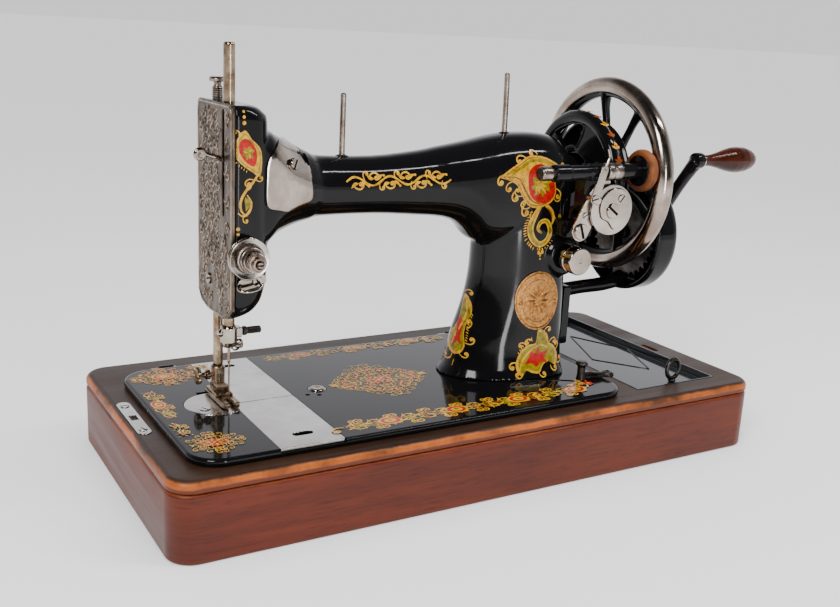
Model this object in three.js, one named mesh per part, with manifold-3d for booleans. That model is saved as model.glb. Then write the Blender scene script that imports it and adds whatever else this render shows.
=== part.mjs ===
// An antique hand-cranked vibrating-shuttle sewing machine on its wooden base.
// Millimetres. +X runs from the needle towards the crank, +Y to the back, +Z up.
// The origin is the middle of the base's underside.
import * as THREE from 'three';
import { mergeVertices } from 'three/addons/utils/BufferGeometryUtils.js';
import Module from 'manifold-3d';

const wasm = await Module();
wasm.setup();

// ---------- driving dimensions ----------
const GAP = 0.3; // clearance between neighbouring pieces

const BASE = { length: 445, width: 211, height: 50.3, corner: 16, wall: 12, seam: 42 };
const BOARD_TOP = 5; // top of the board that closes the base underneath

const BED = { left: -205.8, right: 108.2, front: -94, back: 72.3, corner: 20 };
const BED_TOP = 55.3;
const BED_UNDER = BASE.height + GAP;
const BED_WELL = { left: -197, right: 99, front: -85, back: 63 }; // opening in the wood

const TRAY = { left: 123, right: 199, front: -86, back: 89 }; // accessory compartment
const HINGE = { y: 78.5, z: 51.4, radius: 2.6 }; // the machine tilts back about this line
const HINGE_X = [-170, 68];

const SHAFT_Y = -12; // vertical plane through the arm shaft
const SHAFT_Z = 195;
const SHAFT_R = 6;
const BORE_R = 7.5;

const PLATE_X = -166.5; // outer face of the face plate
const HEAD_LEFT = -164;
const HEAD_RIGHT = -140.5;
const HEAD_HALF = 30;
const HEAD_Y = -13;

const NEEDLE_X = -158.5;
const NEEDLE_Y = -17;
const PRESSER_Y = 3;
const STRIP = { left: -155, right: -113, top: BED_TOP, thick: 1.9 }; // slide plates

const WHEEL_X = 135;
const WHEEL_R = 64; // centre line of the rim
const RIM_HALF = 6.5;
const SPOKES = 9;
const SPOKE_START = THREE.MathUtils.degToRad(4.5); // first spoke, measured from the top towards the back

const CRANK_Y = -18;
const CRANK_Z = 151;
const GEAR_TEETH = 36;
const PINION_TEETH = 12;
const GEAR_RATIO = GEAR_TEETH / PINION_TEETH;
const GEAR_SPAN = Math.hypot(SHAFT_Y - CRANK_Y, SHAFT_Z - CRANK_Z);
const PINION_R = GEAR_SPAN / (1 + GEAR_RATIO);
const GEAR_R = GEAR_SPAN - PINION_R;
const HANDLE_Y = -57;
const HANDLE_Z = 209.5;

const WINDER = { y: -66, z: 205, pivotY: -53, pivotZ: 164 };
const ROCKER_X = 52; // vertical rocking shaft inside the pillar

// ---------- materials ----------
const finish = (color, roughness, metalness) =>
  new THREE.MeshStandardMaterial({ color, roughness, metalness });
const MAHOGANY = finish(0x6e2f1f, 0.45, 0);
const WORN_TOP = finish(0x3b2a24, 0.5, 0);
const PINE = finish(0x9a7448, 0.7, 0);
const JAPAN = finish(0x0b0b0c, 0.18, 0);
const NICKEL = finish(0xb9b4aa, 0.25, 1);
const STEEL = finish(0x8b8680, 0.35, 1);
const IRON = finish(0x3a3836, 0.5, 1);
const BRASS = finish(0xa87436, 0.45, 1);
const RUBBER = finish(0x8a4a24, 0.7, 0);
const HANDLE_WOOD = finish(0x541a12, 0.3, 0);
const TIN = finish(0x17181b, 0.3, 0.2);

// ---------- helpers ----------
const X_AXIS = new THREE.Vector3(1, 0, 0);
const Y_AXIS = new THREE.Vector3(0, 1, 0);
const Z_AXIS = new THREE.Vector3(0, 0, 1);

// Turns any closed geometry into a solid, dropping folded triangles and
// flipping it if its faces point inwards.
function solidOf(geometry) {
  const bare = new THREE.BufferGeometry();
  bare.setAttribute('position', geometry.attributes.position.clone());
  if (geometry.index) bare.setIndex(geometry.index.clone());
  const merged = mergeVertices(bare, 1e-4);
  const at = merged.attributes.position;
  const source = merged.index.array;
  const triangles = [];
  let volume = 0;
  const a = new THREE.Vector3();
  const b = new THREE.Vector3();
  const c = new THREE.Vector3();
  for (let i = 0; i < source.length; i += 3) {
    const [p, q, r] = [source[i], source[i + 1], source[i + 2]];
    if (p === q || q === r || r === p) continue;
    triangles.push(p, q, r);
    a.fromBufferAttribute(at, p);
    b.fromBufferAttribute(at, q);
    c.fromBufferAttribute(at, r);
    volume += a.dot(b.cross(c));
  }
  if (volume < 0) {
    for (let i = 0; i < triangles.length; i += 3) {
      [triangles[i], triangles[i + 1]] = [triangles[i + 1], triangles[i]];
    }
  }
  return new wasm.Manifold(new wasm.Mesh({
    numProp: 3,
    vertProperties: new Float32Array(at.array),
    triVerts: new Uint32Array(triangles),
  }));
}

function geometryOf(solid) {
  const mesh = solid.getMesh();
  const geometry = new THREE.BufferGeometry();
  geometry.setAttribute('position', new THREE.BufferAttribute(new Float32Array(mesh.vertProperties), 3));
  geometry.setIndex(new THREE.BufferAttribute(new Uint32Array(mesh.triVerts), 1));
  geometry.computeVertexNormals();
  return geometry;
}

const join = (...solids) => solids.reduce((sum, next) => sum.add(next));
const cut = (solid, ...tools) => tools.reduce((rest, tool) => rest.subtract(tool), solid);

const machine = new THREE.Group();

function part(name, solid, material) {
  const mesh = new THREE.Mesh(geometryOf(solid), material);
  mesh.name = name;
  machine.add(mesh);
  return solid;
}

function block(x0, x1, y0, y1, z0, z1) {
  const box = new THREE.BoxGeometry(x1 - x0, y1 - y0, z1 - z0);
  box.translate((x0 + x1) / 2, (y0 + y1) / 2, (z0 + z1) / 2);
  return solidOf(box);
}

// A turned piece: profile points are [radius, distance along the axis].
function turned(profile, origin, axis, sides = 12) {
  const points = profile.map(([r, d]) => new THREE.Vector2(r, d));
  const lathe = new THREE.LatheGeometry(points, sides);
  const turn = new THREE.Quaternion().setFromUnitVectors(Y_AXIS, axis.clone().normalize());
  lathe.applyQuaternion(turn);
  lathe.translate(...origin);
  return solidOf(lathe);
}

function rod(radius, from, to, sides = 10) {
  const start = new THREE.Vector3(...from);
  const run = new THREE.Vector3(...to).sub(start);
  return turned([[0, 0], [radius, 0], [radius, run.length()], [0, run.length()]], from, run, sides);
}

function tube(outer, inner, from, to, sides = 12) {
  const start = new THREE.Vector3(...from);
  const run = new THREE.Vector3(...to).sub(start);
  const d = run.length();
  return turned([[inner, 0], [outer, 0], [outer, d], [inner, d], [inner, 0]], from, run, sides);
}

// A plate cut from a flat outline; the plane is 'xy', 'xz' or 'yz', and the
// plate reaches from low to high along the remaining axis.
function plate(outline, plane, low, high) {
  const geometry = new THREE.ExtrudeGeometry(outline, {
    depth: high - low, bevelEnabled: false, curveSegments: 6,
  });
  geometry.translate(0, 0, low);
  if (plane === 'xz') {
    geometry.applyMatrix4(new THREE.Matrix4().set(1, 0, 0, 0, 0, 0, 1, 0, 0, 1, 0, 0, 0, 0, 0, 1));
  }
  if (plane === 'yz') {
    geometry.applyMatrix4(new THREE.Matrix4().set(0, 0, 1, 0, 1, 0, 0, 0, 0, 1, 0, 0, 0, 0, 0, 1));
  }
  return solidOf(geometry);
}

function polygon(points) {
  return new THREE.Shape(points.map(([u, v]) => new THREE.Vector2(u, v)));
}

// A bar with round ends between two points of its plane.
function capsule(u0, v0, u1, v1, half, steps = 5) {
  const angle = Math.atan2(v1 - v0, u1 - u0);
  const points = [];
  for (const [u, v, start] of [[u1, v1, angle - Math.PI / 2], [u0, v0, angle + Math.PI / 2]]) {
    for (let i = 0; i <= steps; i++) {
      const t = start + (Math.PI * i) / steps;
      points.push([u + half * Math.cos(t), v + half * Math.sin(t)]);
    }
  }
  return polygon(points);
}

// Corner points of a rectangle with rounded corners, counter-clockwise.
function roundedLoop(u0, u1, v0, v1, radius, steps = 4) {
  const r = Math.min(radius, (u1 - u0) / 2 - 0.01, (v1 - v0) / 2 - 0.01);
  const corners = [[u1 - r, v0 + r, -90], [u1 - r, v1 - r, 0], [u0 + r, v1 - r, 90], [u0 + r, v0 + r, 180]];
  const loop = [];
  for (const [cu, cv, start] of corners) {
    for (let i = 0; i <= steps; i++) {
      const t = THREE.MathUtils.degToRad(start + (90 * i) / steps);
      loop.push([cu + r * Math.cos(t), cv + r * Math.sin(t)]);
    }
  }
  return loop;
}

// Skins a stack of matching rings (arrays of [x, y, z]) and caps both ends.
function loft(rings) {
  const n = rings[0].length;
  const points = rings.flat(2);
  const middle = (ring) => [0, 1, 2].map((k) => ring.reduce((s, p) => s + p[k], 0) / n);
  points.push(...middle(rings[0]), ...middle(rings[rings.length - 1]));
  const first = rings.length * n;
  const last = first + 1;
  const faces = [];
  for (let i = 0; i < n; i++) {
    const j = (i + 1) % n;
    faces.push(first, j, i);
    faces.push(last, (rings.length - 1) * n + i, (rings.length - 1) * n + j);
    for (let k = 0; k + 1 < rings.length; k++) {
      const low = k * n;
      const high = low + n;
      faces.push(low + i, low + j, high + j, low + i, high + j, high + i);
    }
  }
  const geometry = new THREE.BufferGeometry();
  geometry.setAttribute('position', new THREE.Float32BufferAttribute(points, 3));
  geometry.setIndex(faces);
  return solidOf(geometry);
}

// A flat-lying body whose rounded-rectangle outline shrinks by an inset at each level.
function stack(box, radius, levels, steps = 4) {
  return loft(levels.map(([z, inset]) => {
    const { left, right, front, back } = box;
    return roundedLoop(left + inset, right - inset, front + inset, back - inset,
      Math.max(radius - inset, 1), steps).map(([x, y]) => [x, y, z]);
  }));
}

// A round bar swept along a curve.
function sweep(points, radius, steps, sides = 6, closed = false) {
  const curve = new THREE.CatmullRomCurve3(points.map((p) => new THREE.Vector3(...p)), closed);
  const ring = [];
  for (let i = 0; i < sides; i++) {
    const t = (2 * Math.PI * i) / sides;
    ring.push([radius * Math.cos(t), radius * Math.sin(t)]);
  }
  return solidOf(new THREE.ExtrudeGeometry(polygon(ring), { steps, extrudePath: curve }));
}

// A domed screw head with a straight slot across it.
function slottedScrew(origin, axis, radius, thickness, shank = 0) {
  const profile = [[0, -shank], [radius * 0.5, -shank], [radius * 0.5, 0], [radius, 0],
    [radius, thickness * 0.6], [radius * 0.7, thickness], [0, thickness]];
  const points = shank > 0 ? profile : profile.slice(3);
  const head = turned(shank > 0 ? points : [[0, 0], ...points], origin, axis, 10);
  const slot = new THREE.BoxGeometry(radius * 2.4, thickness, radius * 0.28);
  slot.translate(0, thickness, 0);
  slot.rotateY(0.6);
  slot.applyQuaternion(new THREE.Quaternion().setFromUnitVectors(Y_AXIS, axis));
  slot.translate(...origin);
  return cut(head, solidOf(slot));
}

function knurledNut(origin, axis, radius, length, bore, ribs = 12) {
  const outline = [];
  for (let i = 0; i < ribs * 2; i++) {
    const t = (Math.PI * i) / ribs;
    const r = i % 2 ? radius : radius * 0.92;
    outline.push([r * Math.cos(t), r * Math.sin(t)]);
  }
  const shape = polygon(outline);
  if (bore) shape.holes.push(new THREE.Path().absarc(0, 0, bore, 0, 2 * Math.PI, true));
  const geometry = new THREE.ExtrudeGeometry(shape, { depth: length, bevelEnabled: false, curveSegments: 5 });
  geometry.applyQuaternion(new THREE.Quaternion().setFromUnitVectors(Z_AXIS, axis));
  geometry.translate(...origin);
  return solidOf(geometry);
}

const FRONT = new THREE.Vector3(0, -1, 0);
const LEFT = new THREE.Vector3(-1, 0, 0);
const DOWN = new THREE.Vector3(0, 0, -1);

// ---------- wooden base ----------
const baseBox = {
  left: -BASE.length / 2, right: BASE.length / 2, front: -BASE.width / 2, back: BASE.width / 2,
};
const innerBox = {
  left: baseBox.left + BASE.wall,
  right: baseBox.right - BASE.wall,
  front: baseBox.front + BASE.wall,
  back: baseBox.back - BASE.wall,
};

part('base_frame', cut(
  stack(baseBox, BASE.corner, [[0, 1.2], [1.5, 0], [BASE.seam - 1.6, 0], [BASE.seam, 1.4]]),
  stack(innerBox, 4, [[-1, 0], [BASE.seam + 1, 0]], 2),
), MAHOGANY);

part('base_board', stack(innerBox, 4, [[0, GAP], [BOARD_TOP, GAP]], 2), PINE);

const hingePockets = HINGE_X.map((x) => block(x - 9.5, x + 9.5, 60, HINGE.y + 8.5, 44, 60));
part('base_top_frame', cut(
  stack(baseBox, BASE.corner, [[BASE.seam + GAP, 1.4], [BASE.seam + 1.8, 0], [46.6, 0], [48.8, 0.9],
    [BASE.height, 3.2]]),
  block(BED_WELL.left, BED_WELL.right, BED_WELL.front, BED_WELL.back, 40, 60),
  block(TRAY.left, TRAY.right, TRAY.front, TRAY.back, 40, 60),
  block(-219.2, -210, -30.8, 27.6, 48.6, 60),
  block(200.5, 205.5, -20, -2, 46, 60),
  ...hingePockets,
), WORN_TOP);

part('compartment_wall', block(112, 118, innerBox.front + GAP, innerBox.back - GAP, BOARD_TOP + GAP,
  BASE.seam), PINE);

// black metal lining that frames the compartment's mouth
const liner = {
  left: TRAY.left + GAP,
  right: TRAY.right - GAP,
  front: TRAY.front + GAP,
  back: TRAY.back - GAP,
};
part('compartment_liner', cut(
  block(liner.left, liner.right, liner.front, liner.back, 41, BASE.height),
  block(liner.left + 1.4, liner.right - 1.4, liner.front + 1.4, liner.back - 1.4, 43.8, 60),
  block(liner.left + 6, liner.right - 6, liner.front + 6, liner.back - 6, 40, 45),
), TIN);

// strike plate of the lost cover's lock, with its square keyhole
const lockPlate = capsule(-214.6, -26, -214.6, 22.8, 4.3);
lockPlate.holes.push(new THREE.Path([[-216.9, -6], [-216.9, 2], [-212.3, 2], [-212.3, -6]]
  .map(([x, y]) => new THREE.Vector2(x, y))));
const lockScrews = [-22.5, 19].map((y) =>
  slottedScrew([-214.6, y, BASE.height + 0.2], Z_AXIS, 2.8, 1.1));
part('lock_plate', join(plate(lockPlate, 'xy', 48.9, BASE.height + 0.5), ...lockScrews), NICKEL);

// hinge cups let into the back rail, each holding a lug of the bed
HINGE_X.forEach((x, i) => {
  part(`hinge_cup_${i ? 'right' : 'left'}`, cut(
    block(x - 9.2, x + 9.2, 63.4, HINGE.y + 8.2, 44.3, BASE.height),
    block(x - 6.6, x + 6.6, 60, HINGE.y + 4.4, 46.4, 60),
  ), NICKEL);
});

// compartment lid: pressed tin panel with a diamond pressed into it, and its pull ring
const lidBox = {
  left: liner.left + 1.9, right: liner.right - 1.9, front: liner.front + 1.9, back: liner.back - 1.9,
};
const LID_TOP = 45.9;
const RING = { x: 162, y: -79.4, z: 59.5, radius: 7, wire: 1.5 };
const diamond = polygon([[166, 45], [148, 0], [166, -52], [184, -5]]);
part('compartment_lid', join(
  block(lidBox.left, lidBox.right, lidBox.front, lidBox.back, 44.1, LID_TOP),
  plate(diamond, 'xy', LID_TOP - 0.5, LID_TOP + 0.7),
  turned([[2.1, -0.2], [3.8, -0.2], [3.4, 3.4], [2.1, 3.4], [2.1, -0.2]],
    [RING.x, RING.y, LID_TOP], Z_AXIS, 12),
), TIN);
const ringTurn = new THREE.TorusGeometry(RING.radius, RING.wire, 6, 16);
ringTurn.rotateX(Math.PI / 2);
ringTurn.translate(RING.x, RING.y, RING.z);
part('lid_ring', join(
  solidOf(ringTurn),
  rod(1.8, [RING.x, RING.y, LID_TOP + GAP], [RING.x, RING.y, RING.z - RING.radius], 10),
), IRON);

// catch that holds the bed down: an upright post on the bed and a flat lever round it
const CATCH = { x: 88, y: -63.5, tipX: 112, tipY: -64.5 };
part('bed_catch', join(
  plate(capsule(CATCH.tipX, CATCH.tipY, CATCH.x, CATCH.y, 3), 'xy', BED_TOP + 0.5, BED_TOP + 2.6),
  turned([[0, 0], [4.6, 0], [4.6, 2.4], [3, 3.6], [0, 3.8]],
    [CATCH.tipX, CATCH.tipY, BED_TOP + 0.5], Z_AXIS, 12),
  turned([[0, 0], [3.6, 0], [3.2, 1], [3.2, 10.5], [4.4, 11.5], [4.4, 13.1], [0, 13.7]],
    [CATCH.x, CATCH.y, BED_TOP + 0.5], Z_AXIS, 12),
), IRON);

// ---------- bed ----------
const stripFront = BED.front - 1;
const stripBack = BED.back + 1;
const needleDisc = { x: -164.5, y: -9.5, radius: 19.8 };
const bedBody = stack(BED, BED.corner, [[BED_UNDER, 1.4], [BED_UNDER + 1.2, 0.2], [BED_TOP - 1.6, 0.1],
  [BED_TOP - 0.5, 0.9], [BED_TOP, 2.4]]);
const skirt = cut(
  block(BED_WELL.left + 1, BED_WELL.right - 1, BED_WELL.front + 1, BED_WELL.back - 1, 43, BED_UNDER + 0.4),
  block(BED_WELL.left + 5, BED_WELL.right - 5, BED_WELL.front + 5, BED_WELL.back - 5, 40, BED_UNDER + 0.3),
);
const lugs = HINGE_X.map((x) => join(
  rod(HINGE.radius, [x - 5, HINGE.y, HINGE.z], [x + 5, HINGE.y, HINGE.z], 12),
  block(x - 5, x + 5, BED.back - 5, HINGE.y - 0.5, BED_UNDER, BED_UNDER + 2.6),
));
part('bed_plate', cut(
  join(bedBody, skirt, ...lugs),
  block(STRIP.left, STRIP.right, stripFront, stripBack, BED_TOP - STRIP.thick - GAP, 60),
  block(STRIP.left + 6, STRIP.right - 5, -76, 56, 40, 60),
  rod(needleDisc.radius + 0.25,
    [needleDisc.x, needleDisc.y, BED_TOP - 2.2], [needleDisc.x, needleDisc.y, 60], 28),
  block(-170, -155, -26, 14, 40, 60),
  block(44, 84, -32, 6, 40, 60),
  rod(6.6, [-93.7, -9.2, BED_TOP - 1.6], [-93.7, -9.2, 60], 14),
  rod(1.6, [-97, -20, BED_TOP - 2.5], [-97, -20, 60], 8),
  rod(1.6, [-104, -17, BED_TOP - 2.5], [-104, -17, 60], 8),
), JAPAN);

part('oil_button', turned([[0, -1.2], [6.2, -1.2], [6.2, 0.2], [4.8, 1], [0, 1.2]],
  [-93.7, -9.2, BED_TOP], Z_AXIS, 16), NICKEL);

// needle plate: a disc cut straight along the slide plates, with needle hole and feed slots
part('needle_plate', join(cut(
  rod(needleDisc.radius,
    [needleDisc.x, needleDisc.y, BED_TOP - 1.9], [needleDisc.x, needleDisc.y, BED_TOP + 0.3], 28),
  block(STRIP.left - GAP, -100, -60, 60, 40, 60),
  rod(1.1, [NEEDLE_X, NEEDLE_Y, 40], [NEEDLE_X, NEEDLE_Y, 60], 8),
  block(-163.2, -161, -16, -2, 40, 60),
), slottedScrew([-174, -17, BED_TOP], Z_AXIS, 3.2, 0.9)), NICKEL);
part('feed_dog', join(
  block(-162.8, -161.4, -14, -5, 46, BED_TOP + 0.2),
  block(-168, -158, -15, -4, 44.4, 50),
  block(-168, -162, -14, -8, 22, 46),
  block(-168, 20, -14, -8, 22, 26),
), STEEL);

// front and rear slide plates over the shuttle
const slideSplit = -14;
const stripPlate = (y0, y1) =>
  block(STRIP.left + GAP, STRIP.right - GAP, y0, y1, BED_TOP - STRIP.thick, BED_TOP);
const thumb = capsule(-137.5, -75.7, -129.5, -75.7, 2.6);
part('slide_plate_front', cut(stripPlate(BED.front + 1.5, slideSplit), plate(thumb, 'xy', 40, 60)), NICKEL);
part('slide_plate_rear', cut(stripPlate(slideSplit + 0.4, BED.back - 1.5),
  plate(capsule(-137.5, 58, -129.5, 58, 2.6), 'xy', 40, 60)), NICKEL);

// ---------- arm casting ----------
// Sections of the arm along X: [x, half width, top, bottom, corner radius, middle Y].
const ARM_SECTIONS = [
  [-150, 27, 234, 154, 12, HEAD_Y],
  [-140, 27.5, 231, 161.5, 15, HEAD_Y],
  [-133, 26.5, 227.5, 165.6, 19, HEAD_Y],
  [-125, 25, 223.8, 168, 22, -12.6],
  [-116, 22.6, 219.8, 170.4, 22, -12.3],
  [-107, 20.4, 215.4, 172.4, 20, SHAFT_Y],
  [-98, 18.9, 212.6, 174.7, 18.8, SHAFT_Y],
  [-60, 19, 211.8, 173.6, 18.8, SHAFT_Y],
  [-28, 21, 214.4, 171, 20.9, SHAFT_Y],
  [-10, 22.6, 217.2, 169.2, 22.4, SHAFT_Y],
  [2, 24, 219.1, 166, 23.6, SHAFT_Y],
  [11, 25, 220.6, 160, 24.4, SHAFT_Y],
  [18, 25.8, 221.9, 152, 24.8, SHAFT_Y],
  [28, 26.8, 223.8, 150, 25.2, SHAFT_Y],
  [42, 27.6, 225.8, 150, 25.6, SHAFT_Y],
  [58, 28, 226.5, 150, 25.6, SHAFT_Y],
  [72, 27.4, 225.6, 150, 25, SHAFT_Y],
  [82, 26, 223, 150, 24, SHAFT_Y],
  [88, 23, 218, 152, 22, SHAFT_Y],
  [91, 18, 211, 156, 17, SHAFT_Y],
];
const arm = loft(ARM_SECTIONS.map(([x, half, top, bottom, radius, y]) =>
  roundedLoop(y - half, y + half, bottom, top, radius, 3).map(([v, z]) => [x, v, z])));

// Egg-shaped plan of the pillar at each height: [z, left tip, right end, half depth].
// The left half is an ellipse about the widest place, the right half is squarer.
const PILLAR_SECTIONS = [
  [BED_TOP + GAP, 0.5, 93.5, 39], [58.2, 2.5, 92.8, 37.4], [63, 5.8, 92.3, 35.2], [72, 8, 92, 33.2],
  [85, 11.2, 91.8, 31.8], [98, 16, 91.8, 30.8], [112, 20.4, 91.8, 30.2], [128, 23, 91.6, 29.6],
  [145, 23.5, 91.2, 29], [170, 24, 90.8, 28.2], [190, 27, 90, 27],
];
const PILLAR_WIDEST = 66;
const pillarRing = ([z, left, right, half]) => {
  const ring = [];
  const steps = 20;
  for (let i = 0; i < steps; i++) {
    const t = (2 * Math.PI * i) / steps;
    const [c, s] = [Math.cos(t), Math.sin(t)];
    const n = c < 0 ? 2 : 3;
    const reach = (Math.abs(c) ** n + Math.abs(s) ** n) ** (-1 / n);
    const half_x = c < 0 ? PILLAR_WIDEST - left : right - PILLAR_WIDEST;
    ring.push([PILLAR_WIDEST + half_x * reach * c, HEAD_Y + half * reach * s, z]);
  }
  return ring;
};
const pillar = loft(PILLAR_SECTIONS.map(pillarRing));

// Head: [z, inset from the full outline on Y, right side].
const HEAD_SECTIONS = [
  [116.2, 14, -156], [118.4, 8, -153], [122, 3, -149], [127, 0.6, -145.5], [133, 0, -143],
  [148, 0, HEAD_RIGHT], [235, 0, HEAD_RIGHT - 0.6], [240, 0.4, -143], [243.4, 1.8, -146], [245, 4, -150],
];
const headRing = ([z, inset, right]) => {
  const y0 = HEAD_Y - HEAD_HALF + inset;
  const y1 = HEAD_Y + HEAD_HALF - inset;
  const loop = roundedLoop(HEAD_LEFT - 12, right, y0, y1, 12, 3);
  return loop.map(([x, y]) => [Math.max(x, HEAD_LEFT), y, z]);
};
const head = loft(HEAD_SECTIONS.map(headRing));

const endBoss = turned([[0, 0], [17, 0], [17, 8], [14.5, 11], [14.5, 21], [0, 21]],
  [83, SHAFT_Y, SHAFT_Z], X_AXIS, 24);
const STITCH = { x: 79, z: 142.4 };
const stitchAt = (y) => [STITCH.x, y, STITCH.z];
const stitchBoss = turned([[0, 0], [14, 0], [14, 12.4], [12, 14], [0, 14]], stitchAt(-32), FRONT, 20);
const casting = cut(
  join(arm, pillar, head, endBoss, stitchBoss),
  rod(3.4, stitchAt(-37), stitchAt(-60), 10),
  block(-170, -149.4, -37, 11, 129, 238),
  block(-150, -145, -26.5, 2.5, 180.5, 209.5),
  block(-150, -110, -30.5, -22.5, 182, 216),
  rod(BORE_R, [-170, SHAFT_Y, SHAFT_Z], [120, SHAFT_Y, SHAFT_Z], 16),
  block(44, 84, -32, 6, 40, 190),
  rod(3.75, [NEEDLE_X, NEEDLE_Y, 100], [NEEDLE_X, NEEDLE_Y, 260], 12),
  rod(3.45, [NEEDLE_X, PRESSER_Y, 100], [NEEDLE_X, PRESSER_Y, 260], 12),
  block(-160.6, -154.6, 5, 30, 150, 162),
  rod(2.4, [-81.8, SHAFT_Y, 206], [-81.8, SHAFT_Y, 220], 8),
  rod(2.4, [43, SHAFT_Y, 219], [43, SHAFT_Y, 240], 8),
);
part('arm_casting', casting, JAPAN);

// face plate: stamped plate closing the head, with the take-up slot
const facePlate = new THREE.Shape([
  [HEAD_Y - 14, 116.4], [HEAD_Y + 14, 116.4], [HEAD_Y + 25, 119], [HEAD_Y + 30.4, 124],
  [HEAD_Y + 30.6, 240], [HEAD_Y + 27, 245.4], [HEAD_Y - 27, 245.4], [HEAD_Y - 30.6, 240],
  [HEAD_Y - 30.4, 125], [HEAD_Y - 24, 119.5],
].map(([y, z]) => new THREE.Vector2(y, z)));
const takeUpY = -28;
facePlate.holes.push(new THREE.Path(capsule(takeUpY, 182, takeUpY, 240, 2.2).getPoints().reverse()));
part('face_plate', join(
  plate(facePlate, 'yz', PLATE_X, HEAD_LEFT - GAP),
  slottedScrew([PLATE_X + 0.2, -3.4, 136.5], LEFT, 3.6, 1.6),
), NICKEL);

// shield-shaped cover over the opening in the neck
const neckOutline = new THREE.Shape();
neckOutline.moveTo(-144, 187);
neckOutline.quadraticCurveTo(-129, 180, -112.6, 188);
neckOutline.lineTo(-113.4, 212);
neckOutline.quadraticCurveTo(-122, 226.5, -129, 226.5);
neckOutline.quadraticCurveTo(-137, 226.5, -143.6, 212);
neckOutline.closePath();
const neckCover = cut(
  plate(neckOutline, 'xz', -46, -30),
  arm.translate([0, -GAP, 0]),
).intersect(arm.translate([0, -1.8, 0]));
part('neck_cover', join(
  neckCover.decompose().sort((a, b) => b.volume() - a.volume())[0],
  cut(slottedScrew([-128.4, -29, 218.6], FRONT, 3.4, 6), arm.translate([0, -1, 0])),
), NICKEL);

// oval ornament plate on the pillar, bent to the casting
const badgeShape = new THREE.Shape().absellipse(59.6, 111.6, 17.4, 21.2, 0, 2 * Math.PI);
const pillarOut = (d) => pillar.translate([0, -d, 0]);
const rivets = [[46.5, -38.2], [73.5, -41]].map(([x, y]) =>
  cut(turned([[0, 0], [1.8, 0], [1.3, 4.4], [0, 4.8]], [x, y, 110.4], FRONT, 8), pillarOut(GAP)));
const badgePlate = plate(badgeShape, 'xz', -48, -30).subtract(pillarOut(GAP)).intersect(pillarOut(1.4));
part('badge', join(badgePlate, ...rivets), BRASS);

// spool pins
part('spool_pin_left', rod(2, [-81.8, SHAFT_Y, 207], [-82, SHAFT_Y, 251.5], 10), STEEL);
part('spool_pin_right', rod(2, [43.1, SHAFT_Y, 220.5], [41.7, SHAFT_Y, 266.5], 10), STEEL);

// ---------- thread tension ----------
const TENSION = { x: -158, z: 158 };
const tensionAt = (y) => [TENSION.x, y, TENSION.z];
const headFace = HEAD_Y - HEAD_HALF;
part('tension_stud', join(
  rod(2.1, tensionAt(headFace - GAP), tensionAt(-68.4), 10),
  turned([[0, 0], [5.6, 0], [5.6, 1.5], [0, 1.5]], tensionAt(headFace - GAP), FRONT, 16),
), NICKEL);
const disc = (y, flip) => turned([[2.4, 0], [6, 0], [12.2, flip * 1.1], [12.2, flip * 1.1 + 0.7],
  [5.6, 0.7], [2.4, 0.7], [2.4, 0]], tensionAt(y), FRONT, 18);
part('tension_disc_rear', disc(-48, -1), NICKEL);
part('tension_disc_front', disc(-49.2, 1), NICKEL);
const springPoints = [];
for (let i = 0; i <= 26; i++) {
  const t = (2 * Math.PI * i) / 8;
  const r = 8.4 - 0.13 * i;
  springPoints.push([TENSION.x + r * Math.cos(t), -51.6 - 0.29 * i, TENSION.z + r * Math.sin(t)]);
}
part('tension_spring', sweep(springPoints, 0.75, 26, 3), STEEL);
part('tension_nut', join(
  knurledNut(tensionAt(-60.3), FRONT, 5.8, 3.2, 2.5),
  tube(4.2, 2.5, tensionAt(-63.4), tensionAt(-66.6), 16),
), NICKEL);
part('thread_guard', join(
  plate(capsule(-160, 141.8, -149.5, 144, 3.7), 'xz', headFace - 3.2, headFace - 1.4),
  sweep([[-162, headFace - 2.4, 141.8], [-163.5, -50, 140.5], [-160, -52.5, 139.6], [-154, -52, 140.5],
    [-150, -50, 142.5]], 0.9, 10, 5),
  slottedScrew([-151.6, headFace - 3, 143.4], FRONT, 3, 1.8),
  rod(1.6, [-157, headFace - GAP, 143], [-157, headFace - 2, 143], 8),
), NICKEL);

// ---------- needle bar ----------
part('needle_bar', turned([[0, 100], [2.6, 100], [3.45, 101], [3.45, 278.4], [2.9, 279.5], [0, 279.5]],
  [NEEDLE_X, NEEDLE_Y, 0], Z_AXIS, 14), STEEL);
part('needle_clamp', cut(
  join(
    rod(5.2, [NEEDLE_X, NEEDLE_Y, 95], [NEEDLE_X, NEEDLE_Y, 109], 12),
    block(NEEDLE_X, NEEDLE_X + 7.4, NEEDLE_Y - 3, NEEDLE_Y + 3, 101.5, 107.6),
    knurledNut([NEEDLE_X + 4.6, NEEDLE_Y, 96.4], X_AXIS, 2.9, 4.2, 0, 8),
  ),
  rod(3.7, [NEEDLE_X, NEEDLE_Y, 99.8], [NEEDLE_X, NEEDLE_Y, 120], 12),
  rod(1.2, [NEEDLE_X, NEEDLE_Y, 90], [NEEDLE_X, NEEDLE_Y, 99.9], 8),
  rod(1.7, [NEEDLE_X + 4, NEEDLE_Y, 104.4], [NEEDLE_X + 20, NEEDLE_Y, 104.4], 8),
), NICKEL);
part('needle_clamp_screw', join(
  rod(1.45, [NEEDLE_X + 4.6, NEEDLE_Y, 104.4], [-145.6, NEEDLE_Y, 104.4], 10),
  knurledNut([-149.6, NEEDLE_Y, 104.4], X_AXIS, 2.9, 2.2, 0, 8),
  knurledNut([-145.8, NEEDLE_Y, 104.4], X_AXIS, 2.3, 8, 0, 8),
), IRON);
part('needle', turned([[0, 60.5], [0.35, 61.5], [0.5, 66], [0.5, 84], [0.95, 85.5], [0.95, 99.4], [0, 99.4]],
  [NEEDLE_X, NEEDLE_Y, 0], Z_AXIS, 8), STEEL);

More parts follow.
